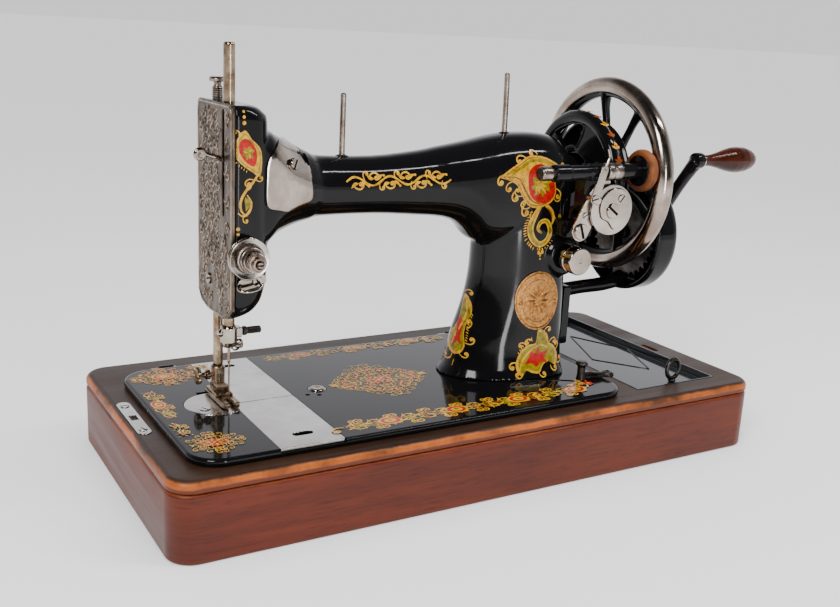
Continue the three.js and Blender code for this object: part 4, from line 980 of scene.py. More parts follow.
def shell(outline, centre, drop, lift, thick, rings=12):
    """A thin bent plate over a convex outline, with a turned-down edge."""
    centre = np.array(centre, float)
    reach = np.array([drop.reach(centre, p) for p in outline])
    reach = np.min([np.roll(reach, k) for k in (-2, -1, 0, 1, 2)], axis=0)
    reach = np.mean([np.roll(reach, k) for k in (-2, -1, 0, 1, 2)], axis=0)
    outline = centre + (np.array(outline, float) - centre) * reach[:, None]
    grid = []
    for s in np.linspace(0.06, 1, rings):
        grid.append([drop(*(centre + (p - centre) * s), lift + thick * (1 if s < 0.97 else 0.75))
                     for p in outline])
    grid.append([drop(*(centre + (p - centre) * 1.004), lift + thick * 0.35) for p in outline])
    grid.append([drop(*p, 0.0) for p in outline])
    n = len(outline)
    verts = [q for ring in grid for q in ring]
    faces = [tuple(range(n))]
    for k in range(len(grid) - 1):
        faces += [(k * n + i, (k + 1) * n + i, (k + 1) * n + (i + 1) % n, k * n + (i + 1) % n)
                  for i in range(n)]
    faces.append(tuple(range(len(verts) - n, len(verts))))
    return Shape(verts, faces)


FACE_OUTER, FACE_INNER = -166.3, -164.3  # the end plate's two sides
RELIEF_X = -166.2
BADGE = (59.6, 111.6)


def face_cover():
    """The stamped end plate, slotted for the take-up lever."""
    outline = [(HEAD_Y - 14, 116.4), (HEAD_Y + 14, 116.4), (HEAD_Y + 25, 119), (HEAD_Y + 30.2, 124.5)]
    outline += arc(HEAD_Y + 26, 241, 4.4, 0, 90, 8) + arc(HEAD_Y - 26, 241, 4.4, 90, 180, 8)
    outline += [(HEAD_Y - 30.2, 125), (HEAD_Y - 24, 119.5)]
    slot = capsule(-28, 182, -28, 240, 2.2)
    # the plate's ground between the raised curls is coloured darker than the curls
    plate = slab([outline, slot], "yz", FACE_OUTER, FACE_INNER, 0.5, 3).paint(1)
    edge = [(HEAD_Y + (y - HEAD_Y) * 0.955, 181 + (z - 181) * 0.978) for y, z in outline]
    border = sweep([(-166.25, y, z) for y, z in even(edge, 3)], 0.55, 8, 1, closed=True)
    piece("face_cover", plate + border + face_scrolls()
          + screw_head((-166.1, -3.4, 136.5), LEFT, 3.4, 1.4, 0.3), ["nickel_face", "nickel_ground"], "head",
          "face_plate", slot="nickel")


def neck_shield(front):
    """A bright shield bent over the arm where it meets the head."""
    neck = rounded([(-143.8, 187.2), (-136, 184.2), (-129, 183.2), (-121, 184.6), (-112.8, 188),
                    (-112.4, 200), (-113.8, 208.6), (-117.8, 215.6), (-122.8, 221.6), (-128.6, 225.4),
                    (-135, 223.6), (-140.4, 218), (-143.6, 211.6), (-144.2, 200)])
    cover = shell(neck, (-128.4, 203), front, 0.35, 1.2)
    # the screw stands square to the mean of the spots round it
    spots = [front(-127.4 + du, 210.4 + dv, 1.4) for du, dv in ((0, 0), (3, 0), (-3, 0), (0, 3), (0, -3))]
    facing = np.cross(spots[1] - spots[2], spots[3] - spots[4])
    facing = facing / np.linalg.norm(facing) * (1 if facing[1] < 0 else -1)
    screw = screw_head(tuple(np.mean(spots, axis=0) + facing * 1.3), tuple(facing), 3.4, 1.6, 0.9, 2.4)
    piece("neck_shield", cover + screw, "nickel_bright", "head", "neck_cover", slot="nickel")


def pillar_badge(front):
    oval = ellipse(*BADGE, 17.2, 21, 64)
    beads = union(
        sweep([front(BADGE[0] + (u - BADGE[0]) * share, BADGE[1] + (v - BADGE[1]) * share, lift)
               for u, v in oval[::2]],
              thick, 8, 2, closed=True)
        for share, lift, thick in ((0.93, 1.25, 0.42), (0.72, 1.2, 0.3)))
    rivets = union(lathe([(0, -1), (1.7, -1), (1.7, 1.2), (1.2, 1.9), (0, 2.2)], tuple(front(x, 110.4, 0)),
                         FRONT)
                   for x in (46.5, 73.5))
    rays = union(
        sweep([front(BADGE[0] + r * math.cos(t), BADGE[1] + 1.2 * r * math.sin(t), 1.2)
               for r in (3, 5.5, 8.6)],
              [0.7, 0.9, 0.25], 8, 3)
        for t in np.linspace(0, TAU, 12, endpoint=False))
    piece("pillar_badge", shell(oval, BADGE, front, 0.35, 0.9, 14) + beads + rivets + rays, "brass", "head",
          "badge", slot="brass")


def face_scrolls():
    """Stamped curls in relief that cover the end plate."""
    curls = Shape()
    for row, z in enumerate(np.arange(126, 239, 7.95), 1):
        for k, y in enumerate((-37.5, -27.5, -17.5, -8, 2, 11.5)):
            y = y + (2.2 if row % 2 else -2.2)
            near_slot = z > 172 and abs(y + 28) < 6.4
            near_screw = math.hypot(y + 3.4, z - 136.5) < 7.5
            past_edge = abs(y - HEAD_Y) > 26 or z + abs(y - HEAD_Y) * 0.3 < 128
            if near_slot or near_screw or past_edge:
                continue
            hand = 1 if (k + row) % 2 else -1
            turn = 0.8 * row + 1.9 * k
            path = []
            for t in np.linspace(0, 1, 9):
                r = 3.9 * (1 - 0.86 * t)
                a = turn + hand * t * TAU * 1.25
                path.append((RELIEF_X, y + r * math.cos(a), z + r * math.sin(a) * 1.1))
            curls = curls + sweep(path, [0.3, 0.55, 0.7, 0.7, 0.6, 0.55, 0.5, 0.55, 0.7], 6, 2, side=RIGHT)
            for da in (0.8, 2.4):
                a = turn - hand * da
                barb = [(RELIEF_X, y + ry * math.cos(a - back), z + rz * math.sin(a - back))
                        for ry, rz, back in ((2.6, 2.8, 0.2), (4.1, 4.4, 0.25), (5.4, 5.8, 0))]
                curls = curls + sweep(barb, [0.55, 0.75, 0.25], 6, 2, side=RIGHT)
    return curls


# ---------------------------------------------------------------- painted ornament
COLOURS = {"gold": 0, "green": 1, "red": 2, "brown": 3}


FIRST_LIFT, STROKE_RISE, PATCH_RISE, BED_RISE = 0.06, 0.0025, 0.035, 0.0003


class Transfer:
    """Ornament laid over a surface in thin coloured sheets, each a hair above the last."""

    def __init__(self, drop, rise=STROKE_RISE):
        self.drop, self.lift, self.rise = drop, FIRST_LIFT, rise
        self.shape = Shape()

    def sheet(self, rows, colour, rise=None):
        """A coloured skin through rows of points; it is left out where it would run off the surface."""
        self.lift += rise or self.rise
        spots = [self.drop(u, v, self.lift) for row in rows for u, v in row]
        if any(s is None for s in spots):
            return
        n = len(rows[0])
        faces = [(k * n + i, k * n + i + 1, (k + 1) * n + i + 1, (k + 1) * n + i)
                 for k in range(len(rows) - 1) for i in range(n - 1)]
        self.shape = self.shape + Shape(spots, faces).paint(COLOURS[colour])

    def stroke(self, points, widths, colour="gold", per=4):
        """A brush line through the points, with one width or a width for each point."""
        widths = np.full(len(points), widths, float) if np.isscalar(widths) else np.array(widths, float)
        path = curve_through(np.column_stack([np.array(points, float), widths]), per)
        run = np.gradient(path[:, :2], axis=0)
        run /= np.maximum(np.linalg.norm(run, axis=1), 1e-9)[:, None]
        side = np.column_stack([-run[:, 1], run[:, 0]]) * path[:, 2:] / 2
        self.sheet([path[:, :2] - side, path[:, :2], path[:, :2] + side], colour)

    def dot(self, u, v, r, colour="gold"):
        loop = np.array(circle(u, v, r, 14) + [(u + r, v)])
        self.sheet([loop, (loop - (u, v)) * 0.05 + (u, v)], colour)

    def patch(self, outline, colour, grow=1.0, rings=12, centre=None):
        """A filled outline, drawn larger or smaller about its centre."""
        loop = np.array(outline + outline[:1], float)
        middle_of = np.mean(outline, axis=0) if centre is None else np.array(centre, float)
        self.sheet([(loop - middle_of) * s * grow + middle_of for s in np.linspace(1, 0.02, rings)], colour,
                   PATCH_RISE)

    def curl(self, u, v, size, angle, hand=1, width=0.16, colour="gold", wind=1.35, bead=True):
        """A scroll that leaves (u, v) at an angle and winds up."""
        heading = math.radians(angle)
        points, steps = [(u, v)], 13
        for i in range(steps):
            t = (i + 0.5) / steps
            way = heading + hand * wind * TAU * t**1.5
            reach = size * (1.55 - 1.25 * t) / 4.2
            points.append((points[-1][0] + reach * math.cos(way), points[-1][1] + reach * math.sin(way)))
        shares = [0.25 + 0.85 * math.sin(math.pi * min(1, 0.15 + 0.8 * i / steps)) for i in range(steps + 1)]
        self.stroke(points, [s * size * width for s in shares], colour, 2)
        if bead:
            self.dot(*points[-1], size * width * 0.75, colour)

    def leaf(self, u, v, length, angle, fat=0.34, colour="green", bend=0.12):
        a = math.radians(angle)
        along, across = np.array([math.cos(a), math.sin(a)]), np.array([-math.sin(a), math.cos(a)])
        rows = [[], [], []]
        for t in np.linspace(0, 1, 7):
            spine = np.array([u, v]) + along * length * t + across * length * bend * math.sin(math.pi * t)
            half = length * fat / 2 * math.sin(math.pi * t**0.8)
            for row, s in zip(rows, (-1, 0, 1)):
                row.append(spine + across * half * s)
        self.sheet(rows, colour)

    def flower(self, u, v, r, petal="red", heart="gold", count=5, start=18):
        for k in range(count):
            self.leaf(u, v, r, start + 360 * k / count, 0.75, petal, 0)
        self.dot(u, v, r * 0.3, heart)

    def comb(self, points, length, hand=1, colour="gold", every=1.6):
        """Short barbs along one side of a curve."""
        path = curve_through(points, 12)
        gone, total = 0.0, 0.0
        for a, b in zip(path, path[1:]):
            total += float(np.linalg.norm(b - a))
            if total - gone > every:
                gone = total
                way = math.degrees(math.atan2(b[1] - a[1], b[0] - a[0])) + 68 * hand
                self.leaf(b[0], b[1], length, way, 0.3, colour, 0.1 * hand)

    def curls(self, width, *rows):
        """One curl for each row of u, v, size, angle and hand."""
        for u, v, size, angle, hand in rows:
            self.curl(u, v, size, angle, hand, width)

    def patches(self, outline, centre, *layers):
        """The same outline in one colour on another; each layer is a colour and its size."""
        for colour, grow in layers:
            self.patch(outline, colour, grow, centre=centre)

    def done(self, name, body="head"):
        piece(name, self.shape, list(COLOURS), body, slot="japan", weighted=False)


def head_ornament(surface):
    paint = Transfer(surface.front())
    for z, r in ((242, 0.75), (239, 0.95), (235.6, 1.15)):
        paint.dot(-159, z, r, "gold")
    paint.curl(-158.4, 227, 3.2, 95, 1, 0.2)
    body = rounded([(-158.6, 231.5), (-154.6, 226.6), (-150.6, 223), (-148.3, 219.3), (-147.6, 213),
                    (-149, 205), (-154, 207.6), (-160, 211.6), (-164, 216), (-165.1, 218.8), (-163.4, 223),
                    (-162.9, 227)])
    paint.patches(body, None, ("gold", 1.0), ("green", 0.88), ("gold", 0.8))
    heart = rounded([(-162.3, 221), (-161, 225.6), (-157.6, 226.6), (-153.6, 223.6), (-151.4, 219),
                     (-151.4, 214), (-153.2, 210.8), (-157, 212.6), (-160.2, 216)])
    paint.patch(heart, "red")
    for angle in (20, 75, 130, 195, 250, 310):
        paint.leaf(-156.4, 218.6, 4.2, angle, 0.55, "green", 0.1)
    for angle in (45, 160, 285):
        paint.leaf(-156.4, 218.6, 3.6, angle, 0.3, "gold", 0.1)
    paint.curl(-162.6, 227, 3.4, 60, 1, 0.2)
    paint.stroke([(-150.4, 206), (-153.6, 201.6), (-158, 196.6), (-161, 190.6), (-160.4, 184.8), (-157, 182)],
                 [1.0, 1.5, 1.7, 1.5, 1.1, 0.5])
    paint.curls(0.17, (-153, 203, 4.4, 160, 1), (-152.4, 204.4, 3.9, -60, 1), (-158, 197, 3.8, 10, 1))
    paint.stroke([(-157.2, 194.4), (-154.6, 190), (-155.8, 184.6), (-159.4, 182), (-162.6, 184)],
                 [0.5, 1.3, 1.7, 1.2, 0.5])
    paint.leaf(-158.2, 193.4, 8.6, -88, 0.4, "green", 0.15)
    paint.curl(-159.2, 182, 3.2, -110, 1, 0.2)
    paint.comb([(-164.8, 217), (-162, 212.4), (-157, 208.6)], 1.6, -1)
    for z, r in ((174.6, 1.1), (171.4, 0.85)):
        paint.dot(-162.4, z, r, "gold")
    paint.done("transfer_head")


def arm_ornament(surface):
    """A running scroll along the arm."""
    paint = Transfer(surface.front())
    u0, u1, mid = -87, -12.5, 198
    wave = [(u, mid + 2.7 * math.sin((u - u0) / (u1 - u0) * TAU * 3)) for u in np.linspace(u0, u1, 37)]
    paint.stroke(wave, [0.9 + 0.5 * abs(math.sin(i * 0.7)) for i in range(37)], "gold", 3)
    for k in range(6):
        u = u0 + 4 + (u1 - u0 - 8) * (k + 0.5) / 6
        side = 1 if k % 2 else -1
        paint.curl(u - 5, mid + 1.6 * side, 5.6, 58 * side, -side, 0.2)
        paint.curl(u + 3.4, mid - 0.6 * side, 4.0, -118 * side, side, 0.2)
        paint.leaf(u - 1, mid + 1.2 * side, 6, 150 if side > 0 else -150, 0.36, "gold", 0.15 * side)
        paint.leaf(u + 1.4, mid + 0.4 * side, 5.6, 35 * side, 0.36, "gold", 0.15)
        paint.dot(u + 6.2, mid + 3.2 * side, 0.8)
    paint.done("transfer_arm")


def pillar_ornament(surface):
    paint = Transfer(surface.front())
    body = [(24, 199), (30, 203.5), (38, 208), (47, 212.6), (58, 212.2), (67, 208.8), (71.5, 205), (69, 197),
            (70, 188), (67, 181.5), (60, 178), (54, 177.2), (47, 179.5), (41, 187), (37, 193.5), (30, 197)]
    body = rounded(body)
    paint.patch(body, "gold", centre=(53, 196))
    paint.patches(body, (54, 196), ("brown", 0.93), ("gold", 0.9), ("green", 0.8), ("gold", 0.76))
    heart = [(45.6, 199.4), (48.4, 205), (55, 207.4), (61, 205), (66, 200), (69, 192), (68.4, 185.4),
             (62.6, 180.4), (54.6, 181.4), (48, 187)]
    paint.patch(rounded(heart), "red")
    for angle in range(0, 360, 45):
        paint.leaf(57, 193.6, 9.2, angle + 10, 0.5, "green", 0.12)
        paint.leaf(57, 193.6, 6, angle + 32, 0.3, "gold", -0.12)
    paint.curl(61, 187, 6.6, 110, 1, 0.13, "gold")
    paint.stroke([(30, 201), (38, 204.4), (46, 209), (56, 210), (66, 207)], [0.5, 1.1, 1.2, 1.1, 0.5],
                 "green")
    paint.stroke([(29, 199), (38, 198), (44, 190), (50, 182.6), (58, 179.6)], [0.4, 0.9, 1.0, 0.9, 0.4],
                 "brown")
    paint.curls(
        0.19, (29, 200, 6.4, 170, 1), (33, 196, 5.4, 195, 1), (38, 190.6, 6.2, 205, 1),
        (41.6, 186, 5.2, 190, -1), (45, 181, 6.6, 225, 1), (48.6, 178, 5.8, 205, -1),
        (51, 175.4, 4.6, 235, 1), (44, 211.6, 5.6, 150, 1), (54, 213.4, 4.6, 120, 1), (70, 204, 5, -30, 1),
        (70, 190, 5.4, -20, -1), (68, 184, 4.4, -60, 1))
    # the hanging tail that ends in a large scroll
    tail = [(57, 178), (53.6, 172), (50.8, 164), (52.6, 156.4), (58, 151.8), (64, 154.4), (66.4, 161),
            (63.4, 167.6), (58.6, 167.4), (56.4, 162.6), (59.6, 159.6)]
    paint.stroke(tail, [3, 4.2, 4.6, 4.6, 4.4, 4.0, 3.8, 3.4, 2.8, 2.2, 1.2], "gold", 5)
    paint.stroke(tail, [1.4, 2.2, 2.4, 2.4, 2.2, 2.0, 1.8, 1.4, 1.0, 0.8, 0.4], "green", 5)
    paint.stroke([(62, 179), (66.8, 174.6), (68.6, 168.6), (66, 164)], [2.6, 2.8, 2.0, 0.6], "gold")
    paint.stroke([(62.4, 177.6), (66.2, 173.8), (67.6, 169)], [0.8, 1.2, 0.5], "brown")
    paint.curl(69, 172, 5.2, -70, 1, 0.2)
    paint.comb([(52.4, 176), (48.8, 166), (49.4, 156), (55, 149.6)], 3.0, -1)
    paint.comb([(55, 149.6), (62, 149.6), (68, 155)], 2.0, -1)
    paint.curls(0.24, (58.6, 149.6, 3.6, 250, 1), (60.4, 149.2, 3.6, 290, -1))
    for r, v in ((0.9, 143.8), (0.7, 141.6)):
        paint.dot(59.4, v, r)
    paint.done("transfer_pillar")


def foot_ornament(surface):
    paint = Transfer(surface.front())
    body = [(62, 91), (69, 87), (71, 80.6), (76, 77), (79.4, 70), (77, 63.4), (71.4, 66.6), (66, 65),
            (61.6, 59.6), (56, 60), (50.6, 62), (47.8, 58.6), (44.4, 60.6), (43.6, 67), (47, 74.6),
            (53, 79.6), (59, 80.6), (60.4, 84.6)]
    paint.patches(rounded(body), (61, 72), ("gold", 1.0), ("green", 0.88))
    fire = [(50.6, 66), (54, 71), (55.2, 75.6), (58.6, 73.4), (61.6, 77.4), (64, 73.6), (70.4, 74.6),
            (66.6, 70), (69.6, 66), (63.6, 67), (60, 63.8), (55.4, 66.6)]
    paint.patch(rounded(fire, 3), "red")
    paint.stroke([(46, 62), (49.6, 70), (56, 76), (64, 79), (70, 76.4)], [0.8, 1.6, 1.4, 1.2, 0.5], "gold")
    paint.stroke([(64, 91), (66, 86), (64, 81)], [0.8, 1.4, 0.6], "green")
    paint.curls(
        0.2, (46, 66.6, 5.4, 150, 1), (48.4, 61, 4.6, 255, -1), (52, 79, 4.4, 120, 1),
        (57, 82.4, 4.4, 140, 1), (71, 80, 5, 60, -1), (76.6, 74, 4.6, 20, 1), (77, 66, 5.2, -40, 1),
        (72, 64, 4.8, -80, 1), (61, 60, 4.4, -70, 1), (66.6, 89, 4.2, 60, -1))
    paint.comb([(46, 72), (51, 79.4), (57, 83.4)], 2.6, 1)
    paint.done("transfer_foot_right")


FLANK, FLANK_TURN = (10, -25), -31


def flank_ornament(surface):
    """The sprig on the pillar's left flank, laid out as it is seen from a turned direction."""
    c = math.cos(math.radians(FLANK_TURN))
    paint = Transfer(surface.front(FLANK_TURN, FLANK))
    put = lambda pts: [(FLANK[0] + (u - FLANK[0]) * c, v) for u, v in pts]
    body = put([(11.4, 112), (16.4, 107), (16.8, 100.6), (13.4, 94), (11.4, 86), (12.4, 78), (9.4, 72.6),
                (3.2, 71), (-0.6, 74.6), (-0.4, 82), (3.4, 88), (7, 95), (8.8, 103)])
    paint.patches(rounded(body), put([(7, 86)])[0], ("gold", 1.0), ("green", 0.86))
    fire = put([(8.6, 97), (10, 90), (8.2, 84), (9.6, 78.6), (6, 80), (2.8, 76), (2.6, 81), (5.4, 86),
                (5.8, 91.6)])
    paint.patch(rounded(fire, 3), "red")
    paint.stroke(put([(12.6, 108), (13, 101), (9.4, 92), (4.6, 84), (2, 77)]), [0.5, 1.1, 1.1, 1.0, 0.4],
                "gold")
    for u, v, size, angle, hand in (
        (13.4, 90, 4.4, 20, 1), (13, 80, 5, -20, 1), (8.6, 72, 4.6, -50, 1), (2.6, 70.6, 5, -100, -1),
        (-0.4, 74, 4.4, 200, -1), (11, 113, 4.0, 60, -1), (5.6, 97, 3.4, 150, 1),
    ):
        paint.curl(*put([(u, v)])[0], size, angle, hand, 0.2)
    paint.comb(put([(16.8, 102), (13.6, 92), (12.4, 82)]), 2.2, 1)
    paint.done("transfer_foot_left")


def lace(paint, u, v, half_u, half_v, size=6.4):
    """A lozenge filled with scrolls, leaves and flowers, with four-way symmetry."""
    rows = max(2, round(half_v / size))
    for j in range(rows + 1):
        y = half_v * (j + 0.15) / (rows + 0.6)
        wide = half_u * (1 - y / half_v) ** 0.8
        count = max(1, round(wide / (size * 1.05)))
        for i in range(count):
            x = wide * (i + 0.3 + 0.3 * (j % 2)) / count
            big = size * (1.06 - 0.3 * y / half_v - 0.16 * x / half_u)
            for su in (-1, 1):
                for sv in (-1, 1):
                    spot = (u + su * x, v + sv * y)
                    outward = math.degrees(math.atan2(sv * (y + 3), su * (x + 2)))
                    angle = outward + su * sv * (40 * ((i + j) % 3) - 30)
                    paint.curl(*spot, big, angle, su * sv * (1 if (i + j) % 2 else -1), 0.1)
                    paint.leaf(*spot, big * 0.95, angle + 104 * su * sv, 0.22,
                               ("gold", "brown", "green")[(i + 2 * j) % 3], 0.15)
                    paint.leaf(*spot, big * 0.8, angle - 118 * su * sv, 0.22, "gold", 0.15)
                    if (i + j) % 3 == 1:
                        paint.flower(*spot, big * 0.44, "red", "gold", 5, 24 * (i + j))
    for su in (-1, 1):
        for turn in (-24, 0, 24):
            paint.leaf(u + su * half_u * 0.86, v, half_u * 0.17, 90 - su * 90 + turn, 0.4, "gold", 0)
    for angle in range(0, 360, 30):
        paint.leaf(u, v, size * 1.2, angle, 0.3, "gold" if angle % 60 else "brown", 0.1)
    paint.flower(u, v, size * 0.7, "red", "gold", 6)


def border(paint, start, end, half, step=12.5):
    """A band of paired scrolls with a flower every few repeats."""
    start, end = np.array(start, float), np.array(end, float)
    length = float(np.linalg.norm(end - start))
    way = (end - start) / length
    side = np.array([-way[1], way[0]])
    base = math.degrees(math.atan2(way[1], way[0]))
    count = max(2, round(length / step))
    place = lambda along, across: tuple(start + way * along + side * across)
    wave = [place(length * t, half * 0.42 * math.sin(t * math.pi * count))
            for t in np.linspace(0, 1, count * 6 + 1)]
    paint.stroke(wave, [0.8 + 0.35 * math.sin(i) for i in range(len(wave))], "gold", 2)
    for k in range(count):
        mid, sign = length * (k + 0.5) / count, 1 if k % 2 else -1
        paint.curl(*place(mid - 4, 0.4 * sign), half * 0.98, base + 62 * sign, -sign, 0.13)
        paint.curl(*place(mid + 3, -0.4 * sign), half * 0.9, base - 118 * sign, sign, 0.13)
        paint.curl(*place(mid + 1, -0.8 * sign), half * 0.8, base - 40 * sign, -sign, 0.13)
        for turn, size in ((28, 0.95), (-35, 0.9), (152, 0.9), (-150, 0.85), (90, 0.8), (-92, 0.85)):
            paint.leaf(*place(mid, 0), half * size * 1.15, base + turn, 0.24,
                       ("gold", "green", "brown")[(k + turn) % 3], 0.12)
        paint.dot(*place(mid + 5.4, half * 0.62 * sign), half * 0.1)
        if k % 4 == 2:
            oval = [place(mid + u, v) for u, v in ellipse(0, 0, half * 1.05, half * 0.72, 22)]
            paint.patches(oval, None, ("gold", 1.0), ("red", 0.8), ("gold", 0.5))
            paint.dot(*place(mid, 0), half * 0.2, "green")


def bed_ornament():
    paint = Transfer(on_bed, BED_RISE)
    lace(paint, -46, -8, 37, 33, 5.6)
    paint.done("transfer_bed_centre")
    back = Transfer(on_bed, BED_RISE)
    border(back, (-103, 62.4), (48, 63.6), 7.2, 11.5)
    back.done("transfer_bed_back")
    front = Transfer(on_bed, BED_RISE)
    border(front, (-106, -78.4), (78, -78.4), 8.0, 12.5)
    front.curls(0.18, (80, -79, 7, 20, 1), (84, -74, 6, 70, 1), (90, -68, 6, 100, 1), (92, -62, 5, 80, -1),
                (-108, -79, 7, 160, 1))
    front.flower(88, -72, 4.4, "red", "gold", 6)
    front.done("transfer_bed_front")
    corners = Transfer(on_bed, BED_RISE)
    border(corners, (-197, -22), (-199, 26), 6.4, 10)
    lace(corners, -179, 52, 22, 17, 4.6)
    border(corners, (-160, 63), (-146, 63), 5.4, 8)
    corners.patches(ellipse(-180, 52, 8, 6, 30), None, ("gold", 1.0), ("red", 0.84), ("gold", 0.56),
                    ("red", 0.44))
    corners.flower(-180, 52, 3.4, "gold", "green", 6)
    lace(corners, -186, -69, 17, 13, 4.6)
    border(corners, (-200, -32), (-197, -54), 5, 9)
    corners.done("transfer_bed_corner")


# ---------------------------------------------------------------- top fittings
def thread_pins():
    for node, x, low, top in (("spool_pin_left", -81.9, 207, 251.4), ("spool_pin_right", 42.6, 220.5, 266.4)):
        lean = 0.1 if x < 0 else -0.7
        pin = sweep([(x, SHAFT_Y, low), (x + lean * 0.3, SHAFT_Y, (low + top) / 2),
                     (x + lean, SHAFT_Y, top - 1)],
                    [1.95, 1.9, 1.85], 18, 6)
        piece(node.replace("spool", "thread"), pin, "steel", "head", node, slot="steel")


TENSION = (-158, 158)


def tension_at(y):
    return (TENSION[0], y, TENSION[1])


def tension_post():
    stud = lathe([(0, 0), (5.8, 0), (5.8, 0.8), (5.2, 1.5), (2.1, 1.5), (2.1, 24.6), (1.7, 25.1), (0, 25.1)],
                 tension_at(-43.1), FRONT, 36)
    slit = block(TENSION[0] - 3, TENSION[0] + 3, -72, -63, TENSION[1] - 0.5, TENSION[1] + 0.5, 0)
    piece("tension_post", boolean(stud, slit), "steel", "head", "tension_stud", slot="nickel")


def tension_discs():
    for node, y, flip in (("tension_disc_rear", -48.0, -1), ("tension_disc_front", -49.2, 1)):
        disc = lathe([(2.4, 0), (6, 0), (10.4, flip * 0.75), (12.2, flip * 1.2), (12.4, flip * 1.2 + 0.35),
                      (12.1, flip * 1.1 + 0.7), (10.2, flip * 0.7 + 0.7), (5.6, 0.7), (2.4, 0.7), (2.4, 0)],
                     tension_at(y), FRONT, 72, 0.15)
        piece(node + "_plate", disc, "nickel", "head", node, slot="nickel")


def tension_coil():
    coil = []
    for i in range(53):
        t = TAU * i / TURN_STEPS
        r = 8.4 - 0.065 * i
        coil.append((TENSION[0] + r * math.cos(t), -51.5 - 0.145 * i, TENSION[1] + r * math.sin(t)))
    piece("tension_coil", sweep(coil, 0.72, 10, 3), "steel", "head", "tension_spring", slot="steel")


def tension_thumb_nut():
    nut = lathe([(2.5, 0), (5.8, 0), (5.8, 2.7), (5.1, 3.2), (4.2, 3.3), (4.2, 5.6), (3.8, 6.2), (2.7, 6.3),
                 (2.5, 5.8), (2.5, 0)],
                tension_at(-60.2), FRONT, 40, 0.2, ribs=(28, 0.5, 0.2, 3.0))
    piece("tension_thumb_nut", nut, "steel", "tension_adjuster", "tension_nut", slot="nickel")


def thread_hook():
    tab = slab([capsule(-160, 141.8, -149.5, 144, 3.7)], "xz", -46.2, -44.4, 0.4)
    hook = sweep([(-162, -45.4, 141.8), (-164.2, -49, 140.2), (-161.6, -52.2, 139.0), (-154, -52.4, 139.8),
                  (-149.6, -50.4, 142.4)],
                 [1.0, 1.1, 1.15, 1.1, 0.9], 12, 6)
    foot = rod(1.6, (-157, -43.1, 143), (-157, -45, 143), 20)
    shine = slab([rounded_rect(-161, -152.6, 144.6, 147.0, 1)], "xz", -48.6, -44.6, 0.4)
    piece("thread_hook", tab + hook + foot + shine + screw_head((-151.6, -46, 143.4), FRONT, 3, 1.8, 2.2),
          "nickel_bright", "head", "thread_guard", slot="nickel")


def needle_rod():
    bar = lathe([(0, 100), (2.6, 100), (3.45, 101), (3.45, 278.2), (2.9, 279.4), (1.6, 279.5), (1.3, 277.8),
                 (0, 277.8)],
                (NEEDLE_X, NEEDLE_Y, 0), UP, 40)
    needle = lathe([(0, 60.5), (0.14, 60.9), (0.35, 62.3), (0.5, 66), (0.5, 84), (0.95, 85.5), (0.95, 99.4),
                    (0, 99.4)],
                   (NEEDLE_X, NEEDLE_Y, 0), UP, 20, 0.1)
    piece("needle_rod", bar + needle, "steel_warm", "needle_unit", "needle_bar", "needle", slot="steel")


def needle_chuck():
    clamp = lathe([(0, -5), (3.4, -5), (4.6, -4), (5.2, -1.4), (5.2, 7.6), (4.7, 8.6), (3.9, 9)],
                  (NEEDLE_X, NEEDLE_Y, 100), UP, 48)
    clamp = clamp + block(NEEDLE_X + 2, NEEDLE_X + 7.6, NEEDLE_Y - 3, NEEDLE_Y + 3, 101.2, 107.6, 0.8)
    clamp = clamp + lathe([(0, 0), (3.1, 0), (3.1, 3.4), (2.4, 4.2), (0, 4.4)],
                          (NEEDLE_X + 4.4, NEEDLE_Y, 96.4), RIGHT, 24, 0.2, ribs=(14, 0.4, 0.3, 3.2))
    clamp = clamp + lathe([(0, 0), (2.2, 0), (2.6, 1.2), (1.5, 2.6), (0, 2.8)],
                          (NEEDLE_X - 4.4, NEEDLE_Y, 104.4), LEFT, 24)
    eye = sweep([(NEEDLE_X + 3.6, NEEDLE_Y - 3.4, 98.6), (NEEDLE_X + 5.2, NEEDLE_Y - 5, 95.6),
                 (NEEDLE_X + 2, NEEDLE_Y - 5.6, 94.2), (NEEDLE_X - 0.6, NEEDLE_Y - 4.6, 96)], 0.55, 8, 5)
    piece("needle_chuck", clamp + eye, "nickel_bright", "needle_unit", "needle_clamp", slot="nickel")


def chuck_screw():
    screw = lathe([(0, 0), (1.45, 0), (1.45, 4.2), (2.9, 4.4), (2.9, 6.4), (2.1, 6.8), (2.3, 8.4),
                   (2.3, 15.6), (1.8, 16.1), (0, 16.2)],
                  (NEEDLE_X + 4.6, NEEDLE_Y, 104.4), RIGHT, 24, 0.15, ribs=(16, 0.35, 8.2, 15.8))
    piece("chuck_screw", screw, "iron", "clamp_screw", "needle_clamp_screw", slot="iron")


PRESSER_AXIS = (NEEDLE_X, PRESSER_Y, 0)
SPRING_LOW, SPRING_HEIGHT, SPRING_TOP = 175.4, 34, 211
TURN_STEPS = 16  # points in one turn of a coil


def presser_rod():
    bar = lathe([(0, 77), (2.6, 77), (3.1, 78), (3.1, 203), (0, 203)], PRESSER_AXIS, UP, 36)
    guide = rod(5.6, (NEEDLE_X, PRESSER_Y, 166), (NEEDLE_X, PRESSER_Y, 174), 32)
    piece("presser_rod", bar + guide, "steel_warm", "presser_unit", "presser_bar", slot="steel")


